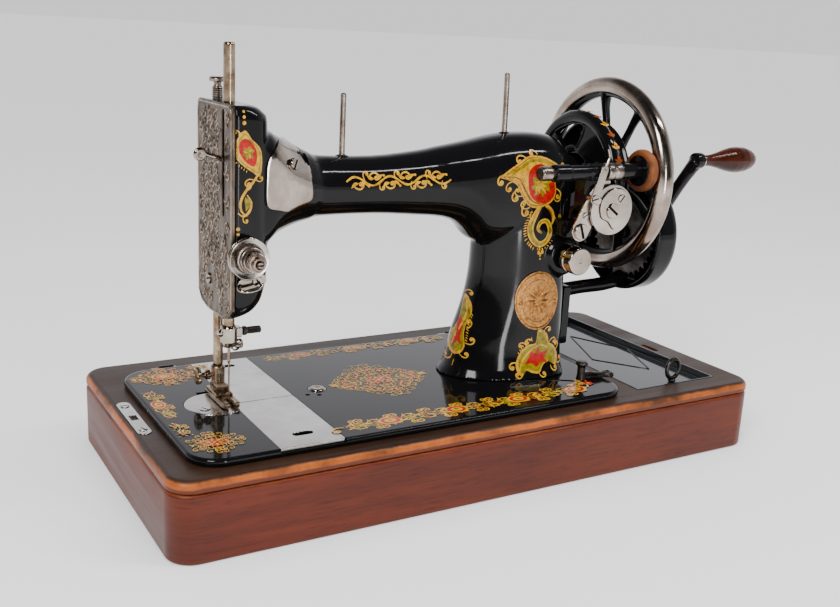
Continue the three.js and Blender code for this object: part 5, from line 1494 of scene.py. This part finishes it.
def hinged_foot():
    shank = lathe([(0, 62.6), (3.4, 62.8), (4.6, 64), (4.6, 76), (4.0, 76.8), (3.1, 77.2)],
                  (NEEDLE_X - 0.3, PRESSER_Y, 0), UP, 36)
    shank = boolean(shank, block(NEEDLE_X - 9, NEEDLE_X - 3.4, -5, 12, 66, 76, 0))
    yoke = block(NEEDLE_X - 4, NEEDLE_X + 4, PRESSER_Y - 8, PRESSER_Y + 4, 60.5, 66, 1.4, 3)
    pin = rod(1.1, (NEEDLE_X - 5.6, PRESSER_Y - 5.4, 62.6), (NEEDLE_X + 5.6, PRESSER_Y - 5.4, 62.6), 20)
    toes = slab([[(NEEDLE_X + dx, PRESSER_Y + dy) for dx, dy in (
        (-6, 8.6), (-6, -24), (-4.6, -27), (-2.4, -27), (-1.5, -24.4), (-1.5, -12), (1.5, -12), (1.5, -24.4),
        (2.4, -27), (4.6, -27), (6, -24), (6, 8.6))]], "xy", 56.2, 58.8, 0.7, 3)
    deck = block(NEEDLE_X - 5.6, NEEDLE_X + 5.6, PRESSER_Y - 12, PRESSER_Y + 7, 58, 61.3, 1.0, 3)
    tips = union(block(x - 1.8, x + 1.8, PRESSER_Y - 25, PRESSER_Y - 13, 58.4, 59.4, 0.4)
                 for x in (NEEDLE_X - 3.7, NEEDLE_X + 3.7))
    piece("hinged_foot", shank + yoke + pin + toes + deck + tips, "steel_warm", "presser_unit",
          "presser_foot", slot="steel")


def presser_coil():
    """The spring that the presser bar squashes as it lifts."""
    coil = []
    for i in range(73):
        t = TAU * i / TURN_STEPS
        coil.append((NEEDLE_X + 4.5 * math.cos(t), PRESSER_Y + 4.5 * math.sin(t),
                     SPRING_LOW + SPRING_HEIGHT * i / 72))
    spring = piece("presser_coil", sweep(coil, 0.7, 8, 2), "steel", "head", "presser_spring", slot="steel",
                   weighted=False)
    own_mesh(spring)


def pressure_stem():
    screw = lathe([(0, 211), (3.1, 211), (3.1, 252.6), (2.3, 253.4), (2.3, 255.4), (5, 256), (5.2, 257.6),
                   (4.4, 258.6), (0, 258.6)],
                  PRESSER_AXIS, UP, 44, 0.3)
    threads = union(lathe([(3.0, z), (3.55, z + 0.5), (3.0, z + 1), (2.8, z + 0.5), (3.0, z)], PRESSER_AXIS,
                          UP, 32, 0)
                    for z in np.arange(246.2, 252, 1.25))
    piece("pressure_stem", screw + threads, "steel", "pressure_adjuster", "pressure_screw", slot="nickel")


def foot_clamp_screw():
    neck = rod(1.3, (NEEDLE_X - 3, PRESSER_Y, 71), (NEEDLE_X - 9, PRESSER_Y, 71), 20)
    head = lathe([(0, 0), (3.2, 0), (3.2, 2.6), (1.8, 3.2), (1.8, 6), (5.4, 6.6), (5.7, 7.6), (5.4, 9),
                  (4.2, 9.6), (0, 9.6)],
                 (NEEDLE_X - 5.6, PRESSER_Y, 71), LEFT, 40, 0.2, ribs=(20, 0.4, 6.6, 9.0))
    head = boolean(head, block(NEEDLE_X - 16.4, NEEDLE_X - 13.6, -6, 12, 70.4, 71.6, 0))
    piece("foot_clamp_screw", neck + head, "steel_warm", "foot_fixing", "foot_screw", slot="steel")


def lift_lever():
    lever = slab([capsule(-157.6, 156, -157.6, 128, 3.4)], "xz", 18.6, 21.6, 0.7)
    lever = lever + rod(2.4, (-157.6, 8.8, 156), (-157.6, 22.6, 156), 24) + sweep(
        [(-157.6, 20, 128), (-157.6, 23.5, 127.2), (-157.6, 27, 126)], [3.6, 4.2, 4.4], 16, 4)
    piece("lift_lever", lever, "nickel", "lifter", "presser_lifter", slot="nickel")


def take_up_arm():
    y = -28
    eye = (-180, y, 216.5)
    outline = [(-114, 202), (-118, 205.4), (-130, 208.3), (-146, 210.8), (-168, 215.4), (-176.6, 218.0),
               (-177.2, 215.2), (-168, 212.2), (-146, 206.0), (-130, 201), (-120, 197.4), (-115, 198.6)]
    blade = slab([rounded(outline, 3), circle(-118, 201, 1.4, 20)], "xz", y - 1.5, y + 1.5, 0.5)
    ring = sweep([(u, y, v) for u, v in ellipse(eye[0], eye[2], 2.9, 2.9, 14)], 1.1, 12, 3, closed=True)
    bush = tube(3.0, 1.5, (eye[0], y - 2.3, eye[2]), (eye[0], y + 2.3, eye[2]), 24, 0.3)
    rib = sweep([(-168, y - 1.2, 213.8), (-172, y - 1.6, 215), (-177, y - 1.4, 216.6)], [0.9, 1.3, 1.2], 10,
                5)
    piece("take_up_arm", blade + ring + bush + rib, "nickel_bright", "take_up", "take_up_lever",
          slot="nickel")


# ---------------------------------------------------------------- drive
WHEEL_X, WHEEL_R = 135, 64
SPOKES, SPOKE_START = 9, 4.5
CRANK_Y, CRANK_Z = -18, 151
HANDLE_Y, HANDLE_Z = -57, 209.5


def shaft_at(x):
    return (x, SHAFT_Y, SHAFT_Z)


def crank_at(x):
    return (x, CRANK_Y, CRANK_Z)


def around_shaft(x, r, angle):
    a = math.radians(angle)
    return (x, SHAFT_Y + r * math.sin(a), SHAFT_Z + r * math.cos(a))


def main_shaft():
    shaft = rod(6, shaft_at(-150), shaft_at(146), 48)
    collar = lathe([(0, 0), (13, 0), (13, 4.6), (0, 4.6)], shaft_at(-150.6), RIGHT, 48)
    piece("main_shaft", shaft + collar, "steel", "wheel", "arm_shaft", slot="steel")


def balance_wheel():
    section = [(WHEEL_R + 6.5 * math.sin(t), 6.5 * math.cos(t) * 1.06) for t in np.linspace(0, TAU, 41)]
    rim = lathe(section, shaft_at(WHEEL_X), RIGHT, 160, 0)
    # the inner side of the rim is japanned, the outer side plated
    rim.mats = []
    for face in rim.faces:
        spots = rim.verts[list(face)]
        r = float(np.mean(np.hypot(spots[:, 1] - SHAFT_Y, spots[:, 2] - SHAFT_Z)))
        rim.mats.append(0 if r > WHEEL_R - 4.2 else 1)
    lining = lathe([(WHEEL_R - 7.6, -2.6), (WHEEL_R - 3, -5.6), (WHEEL_R - 3, 5.6), (WHEEL_R - 7.6, 2.6),
                    (WHEEL_R - 8.0, 0), (WHEEL_R - 7.6, -2.6)], shaft_at(WHEEL_X), RIGHT, 160, 0.8).paint(1)
    hub = lathe([(6.3, -17), (37, -17), (39.4, -16.4), (40, -15.2), (38.4, -14), (36.8, -12.5), (38.4, -11),
                 (40, -9.8), (39.4, -8.6), (37, -8), (24, -6.6), (16, -5), (13.6, -1), (13, 4), (12.4, 11),
                 (11.6, 12), (6.3, 12), (6.3, -17)],
                shaft_at(WHEEL_X), RIGHT, 96, 0.5).paint(1)
    spokes = Shape()
    for i in range(SPOKES):
        base = SPOKE_START + 360 * i / SPOKES
        path = [around_shaft(WHEEL_X + dx, r, base + lean)
                for r, lean, dx in ((12, 0, 1), (24, 2.6, 3), (38, 3.2, 3), (50, 1.6, 1), (60, 0, 0))]
        spokes = spokes + sweep(path, [5.4, 3.7, 3.2, 3.6, 5.2], 16, 6, flat=0.86, side=RIGHT)
    fused = melted([lining, hub, spokes], 0.8, 5)
    fused.paint(1)
    piece("balance_wheel", rim + fused, ["nickel_rim", "japan"], "wheel", "handwheel", slot="nickel",
          angle=40)


def stop_motion_nut():
    nut = lathe([(0, 0), (12, 0), (12, 2.4), (11.2, 3.8), (10, 4.3), (4, 4.4), (3.4, 3.6), (0, 3.6)],
                shaft_at(WHEEL_X + 12.4), RIGHT, 40, 0.2, ribs=(40, 0.3, 0.2, 2.6))
    piece("stop_motion_nut", nut, "nickel", "clutch", "clutch_nut", slot="nickel")


def belt_cover():
    def turn(a, r):
        return (SHAFT_Y + r * math.cos(math.radians(a)), SHAFT_Z + r * math.sin(math.radians(a)))
    steps = np.linspace(-18, 205, 64)
    # a hoop of round section carries a dished web inside it
    hoop = sweep([(109.4, *turn(a, 41.6)) for a in steps], 4.9, 20, 1, side=(1, 0, 0))
    web = slab([[turn(a, 41) for a in steps] + [turn(a, 15.6) for a in steps[::-1]]], "yz", 106.4, 111.6, 1.2,
               3)
    window = [turn(a, 37) for a in np.linspace(48, 104, 16)] + [turn(a, 21) for a in np.linspace(104, 48, 16)]
    window = rounded(window[::3])
    web = boolean(web, slab([window], "yz", 90, 130, 0.05))
    lip = sweep([(106.4, *p) for p in window[::3]], 0.8, 10, 3, closed=True)
    bosses = union(lathe([(0, 0), (5.4, 0), (5.4, 2), (4.4, 3.4), (0, 3.6)], (106.6, *turn(a, 30)), LEFT, 32)
                   for a in (10, 165))
    bolt = screw_head((104, *turn(70, 17.8)), LEFT, 2.2, 1.0, 0.5, 2.0)
    piece("belt_cover", hoop + web + lip + bosses + bolt, "japan", "head", "belt_guard", slot="japan",
          angle=40)
    paint = Transfer(lambda u, v, lift: np.array((u, *turn(v, 46.5 + lift + 0.02))), 0.02)
    # sprigs round the crown of the hoop; v is an angle
    for k, v in enumerate((62, 74, 86, 98, 110, 122, 134, 146, 158)):
        for way, length in ((-90, 7), (-140, 4.6), (-40, 4.6)):
            paint.leaf(109.6, v + 4, length, way, 0.42, ("brown", "gold")[k % 2], 0.1)
        paint.leaf(109.6, v + 3, 3.4, -90, 0.4, "red", 0.0)
    paint.done("transfer_guard")


def gear_housing():
    cup = lathe([(0, 20), (39.6, 20), (40.4, 3), (43.2, 3), (43.6, 5), (43.7, 18), (42.6, 21.4), (40.2, 23),
                 (36, 23.9), (30, 24.4), (12, 24.6), (0, 24.6)], crank_at(148), RIGHT, 120, 0.6)
    pinion_boss = lathe([(0, 0), (15, 0), (15, 2.6), (13.8, 4.2), (0, 4.4)], shaft_at(168), RIGHT, 64)
    arm = sweep([(92.4, CRANK_Y, 109.5), (104, CRANK_Y, 110), (118, CRANK_Y, 110.8), (140, CRANK_Y, 111.4),
                 (158, CRANK_Y, 115)],
                [6.2, 5.4, 5.2, 5.4, 6.4], 24, 6)
    foot = block(92.7, 98.6, CRANK_Y - 13, CRANK_Y + 11, 72, 116, 1.6, 3)
    housing = melted([cup, pinion_boss], 1.0, 4)
    # bores for the crank and the shaft, then room for the gear, the pinion and the wheel's hub
    for cutter in (rod(5.6, crank_at(140), crank_at(190), 40, 0),
                   rod(4.6, shaft_at(140), shaft_at(190), 40, 0),
                   rod(37.5, crank_at(146), crank_at(167), 96, 0),
                   rod(14.4, shaft_at(146), shaft_at(166.6), 64, 0),
                   rod(29, shaft_at(140), shaft_at(157.4), 64, 0)):
        housing = boolean(housing, cutter)
    screw = screw_head((98.4, CRANK_Y, 86), RIGHT, 6, 3.6, 0.9)
    piece("gear_housing", housing + arm + foot + screw, "japan", "head", "crank_bracket", slot="japan",
          angle=40)


def gears():
    piece("large_gear", copy_of("crank_gear", 0.12), "iron", "crank", "crank_gear", slot="iron")
    piece("small_gear", copy_of("drive_pinion", 0.12), "iron", "pinion", "drive_pinion", slot="iron")


def crank_lever():
    hub = lathe([(0, 0), (9, 0), (9, 6.6), (8, 9), (6, 10.5), (0, 10.7)], crank_at(178.2), RIGHT, 56)
    spindle = rod(5, crank_at(153), crank_at(180), 32)
    lever = sweep([crank_at(183.6), (183.6, -27, 166.5), (183.8, -40, 186.5), (184.2, -51, 202),
                   (184.4, HANDLE_Y, HANDLE_Z)],
                  [6.4, 5.0, 4.5, 4.8, 5.6], 24, 8)
    end = lathe([(0, 0), (5.6, 0.6), (5.9, 3), (5.8, 6.4), (4.4, 8.2), (1.9, 8.4), (1.9, 48.3), (0, 48.3)],
                (180.6, HANDLE_Y, HANDLE_Z), RIGHT, 44)
    ferrule = tube(4.9, 2.0, (188.2, HANDLE_Y, HANDLE_Z), (189.2, HANDLE_Y, HANDLE_Z), 44, 0.3).paint(1)
    screw = screw_head((188.8, CRANK_Y, CRANK_Z), RIGHT, 3.8, 1.6, 0.4).paint(1)
    piece("crank_lever", hub + spindle + lever + end + ferrule + screw, ["japan_soft", "nickel_bright"],
          "crank", "crank_arm", slot="japan")


def crank_grip():
    grip = [(2.2, 0.2), (3.3, 0), (4.0, 1.2), (4.0, 4), (4.4, 8), (5.8, 14.6), (7.6, 21), (9.0, 27),
            (9.6, 33), (9.2, 40), (7.8, 45.6), (5.8, 49.6), (3.2, 52.2), (0, 53), (0, 40.5), (2.2, 40.3),
            (2.2, 0.2)]
    piece("crank_grip", lathe(grip, (189.6, HANDLE_Y, HANDLE_Z), RIGHT, 64, 1.2), "handle", "grip",
          "crank_handle", slot="handle_wood")


def stitch_thumbscrew():
    knob = lathe([(0, 0), (2.9, 0), (2.9, 5.2), (8.4, 5.6), (9.6, 6.8), (9.8, 8), (9.8, 10.6), (9.0, 11),
                  (9.0, 11.8), (9.8, 12.2), (9.8, 18.2), (9.3, 19.0), (8.8, 19.2), (1.2, 19.2), (0.9, 19.0),
                  (0, 19.0)], (STITCH[0], -43.6, STITCH[1]), FRONT, 64, 0.25)
    piece("stitch_thumbscrew", knob, "nickel_bright", "stitch_control", "stitch_knob", slot="nickel")


# ---------------------------------------------------------------- bobbin winder
SPINDLE = (-66, 205)
CAM = (96, 178.5)


def spindle_at(x):
    return (x, *SPINDLE)


def pivot_at(x):
    return (x, -53, 164)


def winder_fork():
    fork = union(block(x0, x1, y0, y1, 158, 170, bevel) for x0, x1, y0, y1, bevel in (
        (70, 74.4, -56, -44.5, 1.2), (86.6, 91, -56, -38, 1.2), (70, 91, -44.6, -37.5, 1.6)))
    pin = rod(2.2, pivot_at(68.5), pivot_at(92.5), 28)
    piece("winder_fork", fork + pin, "japan", "head", "winder_bracket", slot="japan")


def winder_body():
    barrel = lathe([(3.4, 0), (5.4, 0), (5.8, 1), (5.8, 12), (5.2, 13), (5.2, 29), (5.8, 30), (5.8, 41),
                    (5.4, 42), (3.4, 42), (3.4, 0)],
                   spindle_at(46), RIGHT, 48, 0.4)
    upright = block(75.4, 85.6, -64, -54, 173, 202, 2.2, 3)
    elbow = block(75.4, 85.6, -58, -49.6, 162, 180, 2.2, 3)
    hub = tube(5.4, 2.5, pivot_at(75), pivot_at(86), 36, 0.5)
    wing = block(80, 99, -61, -57, 172.6, 184, 1.4, 3)
    post = rod(3, (CAM[0], -58, CAM[1]), (CAM[0], -66.8, CAM[1]), 24)
    piece("winder_body", barrel + upright + elbow + hub + wing + post, "japan", "winder", "winder_frame",
          slot="japan")


def winder_axle():
    spindle = lathe([(0, 0), (4.2, 0.2), (4.8, 1.2), (4.8, 8.0), (4.2, 8.8), (3, 9.4), (3, 54.6), (5.6, 55.0),
                     (6.2, 56), (6.2, 59.6), (5.4, 60.6), (4.8, 61), (5.4, 61.8), (6, 62.8), (6, 66.6),
                     (5.4, 67.6), (5.4, 83.6), (5.0, 84), (0, 84)], spindle_at(35), RIGHT, 48, 0.3)
    spindle.mats = [0 if np.mean(spindle.verts[list(f)][:, 0]) < 103.4 else 1 for f in spindle.faces]
    pulley = lathe([(0, 0), (10.4, 0), (10.6, 1), (10.6, 7), (10.4, 8), (6, 8.1), (5, 7), (0, 7)],
                   spindle_at(118.9), RIGHT, 56, 0.3).paint(1)
    piece("winder_axle", spindle + pulley, ["steel", "japan"], "spindle", "winder_spindle", slot="steel")


def winder_ring():
    tyre = lathe([(10.7, 0.7), (12.6, 0.6), (13.8, 1.2), (14.5, 2.6), (14.7, 3.4), (14.35, 3.8), (14.35, 4.3),
                  (14.7, 4.7), (14.4, 5.7), (13.6, 7.0), (12.4, 7.5), (11.8, 7.35), (11.6, 7.0), (11.2, 7.0),
                  (10.7, 7.4), (10.7, 0.7)],
                 spindle_at(118.9), RIGHT, 64, 0.3)
    piece("winder_ring", tyre, "rubber", "spindle", "winder_tyre", slot="rubber")


def winder_cover():
    plate = slab([capsule(73.5, 165, 86, 190, 7.2, 6.4, 16)], "xz", -66.3, -64.4, 0.35)
    ear = slab([capsule(86, 190, 92, 197, 4)], "xz", -66.2, -64.5, 0.35)
    plate = boolean(plate, rod(7, spindle_at(50), spindle_at(130), 40, 0))
    foot_screw = screw_head((73.4, -66.0, 164.6), FRONT, 5.6, 2.2, 1.9)
    eyelet = screw_head((76.2, -66.0, 175.6), FRONT, 2.2, 1.2, 0.5)
    piece("winder_cover", plate + ear + foot_screw + eyelet, "nickel_warm", "winder", "winder_plate",
          slot="nickel")


def winder_heart():
    rim = []
    for t in np.linspace(0, TAU, 96, endpoint=False):
        r = 17.7 + math.cos(t - 0.6) + 0.3 * math.cos(2 * t)
        rim.append((CAM[0] + r * math.cos(t), CAM[1] + r * math.sin(t)))
    disc = slab([rim], "xz", -69.2, -67, 0.35, 3)
    # a raised heart-shaped face with a curling step round its edge
    face = []
    for t in np.linspace(-0.5 * math.pi, 1.25 * math.pi, 60):
        r = 14.8 - 2.4 * (t + 0.5 * math.pi) / (1.75 * math.pi)
        face.append((CAM[0] + 2.4 + r * math.cos(t), CAM[1] + 2.2 + r * math.sin(t)))
    face += [(CAM[0] - 2.4, CAM[1] - 7.4), (CAM[0] - 1.0, CAM[1] - 9.8)]
    face = rounded(face[::3], 3)
    raised = slab([face], "xz", -70.6, -69.0, 0.4, 3)
    # the dark bar along the foot of the raised face is painted shade in the step
    step = sweep([(x, -69.2, z) for x, z in face], 0.42, 6, 1, closed=True).paint(PAINTED_SHADE)
    nub = lathe([(0, 0), (3.2, 0), (3.2, 1.8), (2.6, 2.4), (0, 2.5)], (CAM[0] - 12.5, -67.6, CAM[1] + 7.6),
                FRONT, 32)
    screws = (screw_head((CAM[0] + 0.4, -70.0, CAM[1]), FRONT, 5.4, 1.9, 2.5)
              + screw_head((CAM[0] + 7.4, -70.2, CAM[1] + 8.4), FRONT, 2.9, 1.3, 0.9))
    piece("winder_heart", disc + raised + step + nub + screws, "nickel_warm", "cam", "winder_cam",
          slot="nickel")


def winder_finger():
    finger = slab([capsule(77, 188, 83.5, 207.5, 3.4, 2.9), circle(83.6, 208.2, 0.9, 16)], "xz", -74, -72.6,
                  0.3)
    wire = sweep([(84, -73.3, 208), (85.2, -73.4, 212), (86.6, -73.4, 216), (84.8, -73.4, 221)],
                 [0.95, 0.8, 0.7, 0.5], 10, 6)
    post = rod(1.8, (77, -66.8, 188), (77, -73, 188), 24)
    piece("winder_finger", finger + wire + post + screw_head((77, -73.8, 188), FRONT, 2.8, 1.2, 0.2),
          "nickel_warm", "guide", "winder_guide", slot="nickel")


def shuttle_unit():
    piece("rocking_shaft", copy_of("shuttle_rocker", 0.4), "iron", "shuttle_unit", "shuttle_rocker",
          slot="iron")
    boat = copy_of("shuttle", 0.2)
    piece("boat_shuttle", boat, "nickel_bright", "shuttle_unit", "shuttle", slot="steel")
    x = middle("bobbin")[0]
    spool = rod(1.9, (x, -24, 45.4), (x, 2, 45.4), 24) + union(
        lathe([(0, 0), (2.9, 0), (2.9, 0.7), (0, 0.7)], (x, y, 45.4), FRONT, 24, 0.15) for y in (1.8, -23.2))
    piece("long_bobbin", spool, "steel", "shuttle_unit", "bobbin", slot="steel")


# ---------------------------------------------------------------- the scene
for build in (base_sides, base_top, hinge_sockets, compartment_rim, lock, lid, pull_ring, bed_latch, bed,
              oil_cap, throat_plate, feed_bar, slide_plates):
    build()
surface = Surface(arm_and_pillar())
face_cover()
neck_shield(surface.front())
pillar_badge(surface.front())
for paint_on in (head_ornament, arm_ornament, pillar_ornament, foot_ornament, flank_ornament):
    paint_on(surface)
for build in (bed_ornament, thread_pins, tension_post, tension_discs, tension_coil, tension_thumb_nut,
              thread_hook, needle_rod, needle_chuck, chuck_screw, presser_rod, hinged_foot, presser_coil,
              pressure_stem, foot_clamp_screw, lift_lever, take_up_arm, main_shaft, balance_wheel,
              stop_motion_nut, belt_cover, gear_housing, gears, crank_lever, crank_grip, stitch_thumbscrew,
              winder_fork, winder_body, winder_axle, winder_ring, winder_cover, winder_heart, winder_finger,
              shuttle_unit):
    build()


def area(name, eye, target, width, height, power, along=None):
    """A soft box; its width runs as near as it can to the direction along."""
    data = bpy.data.lights.new(name, "AREA")
    data.shape, data.size, data.size_y, data.energy = "RECTANGLE", width, height, power
    lamp = linked(name, data)
    back = (Vector(eye) - Vector(target)).normalized()
    wide = Vector(along) if along else Vector((0, 0, 1)).cross(back)
    wide = (wide - back * wide.dot(back)).normalized()
    lamp.matrix_world = Matrix.Translation(eye) @ Matrix((wide, back.cross(wide), back)).transposed().to_4x4()
    return lamp


area("key_front_left", (-0.9, -0.75, 1.0), (0, 0, 0.12), 0.4, 0.5, 15)
area("arm_strip", (0.47, -0.43, 0.94), (-0.03, -0.03, 0.2), 0.42, 0.05, 3.2, along=(1, 0, 0))
area("pillar_strip", (-0.1, -1.05, 0.2), (0.05, 0, 0.1), 0.1, 0.4, 2.6)
area("fill_right", (1.0, -0.9, 0.6), (0.05, 0, 0.15), 0.3, 0.8, 6).visible_glossy = False
sky = bpy.data.lights.new("open_shade", "SUN")
sky.energy, sky.angle = 3.6, math.radians(80)
sky_lamp = linked("open_shade", sky)
sky_lamp.visible_glossy = False
sky_lamp.rotation_euler = (math.radians(12), math.radians(-10), 0)

FLOOR = 60
floor_mesh = bpy.data.meshes.new("floor")
floor_mesh.from_pydata([(-FLOOR, -FLOOR, 0), (FLOOR, -FLOOR, 0), (FLOOR, FLOOR, 0), (-FLOOR, FLOOR, 0)], [],
                       [(0, 1, 2, 3)])
floor = linked("floor", floor_mesh)
paper = Look("paper_floor", Roughness=0.8, Specular_IOR_Level=0.1)
paper.show("Base Color", (0.86, 0.86, 0.86))
floor_mesh.materials.append(paper.material)


def build_world():
    """A pale backdrop; what the gloss picks up is bright beyond the machine and dark on the near side."""
    world = bpy.data.worlds.new("studio")
    bpy.context.scene.world = world
    world.use_nodes = True
    sky = Graph(world.node_tree)
    direction = sky.node("ShaderNodeTexCoord").outputs["Generated"]
    facing = sky.node("ShaderNodeVectorMath", operation="DOT_PRODUCT")
    sky.feed(facing.inputs[0], direction)
    sky.feed(facing.inputs[1], FAR_WAY)
    share = sky.math("MULTIPLY_ADD", facing.outputs["Value"], 0.5, 0.5)
    level = sky.node("ShaderNodeSeparateXYZ")
    sky.feed(level.inputs[0], direction)
    gloss = sky.mix(1.0, sky.ramp(share, (0.3, NEAR_SIDE), (0.8, FAR_SIDE)),
                    sky.ramp(level.outputs["Z"], (0.3, 1.0), (0.75, OVERHEAD)), "MULTIPLY")
    seen = sky.node("ShaderNodeLightPath").outputs["Is Camera Ray"]
    sky.feed(sky.tree.nodes["Background"].inputs["Color"], sky.mix(seen, gloss, BACKDROP))


NEAR_SIDE, FAR_SIDE, BACKDROP = (0.03, 0.03, 0.032), (1.3, 1.3, 1.35), (1.0, 1.0, 1.0)
FAR_WAY, OVERHEAD = (0.5, 0.86, 0.0), 0.08
build_world()

# a three-quarter view from the needle end, a little above the arm
AZIMUTH, ELEVATION, ROLL = math.radians(-31.02), math.radians(15.02), math.radians(2.96)
EYE = Vector((-0.36985, -0.59682, 0.2917))
behind = Vector((math.sin(AZIMUTH) * math.cos(ELEVATION), -math.cos(AZIMUTH) * math.cos(ELEVATION),
                 math.sin(ELEVATION)))
ahead = -behind
right = ahead.cross(Vector((0, 0, 1))).normalized()
above = right.cross(ahead)
right, above = (right * math.cos(ROLL) + above * math.sin(ROLL),
                above * math.cos(ROLL) - right * math.sin(ROLL))
lens = bpy.data.cameras.new("camera")
lens.lens, lens.sensor_width = 43.7, 36
camera = linked("camera", lens)
place = Matrix((right, above, behind)).transposed().to_4x4()
place.translation = EYE
camera.matrix_world = place
bpy.context.scene.camera = camera
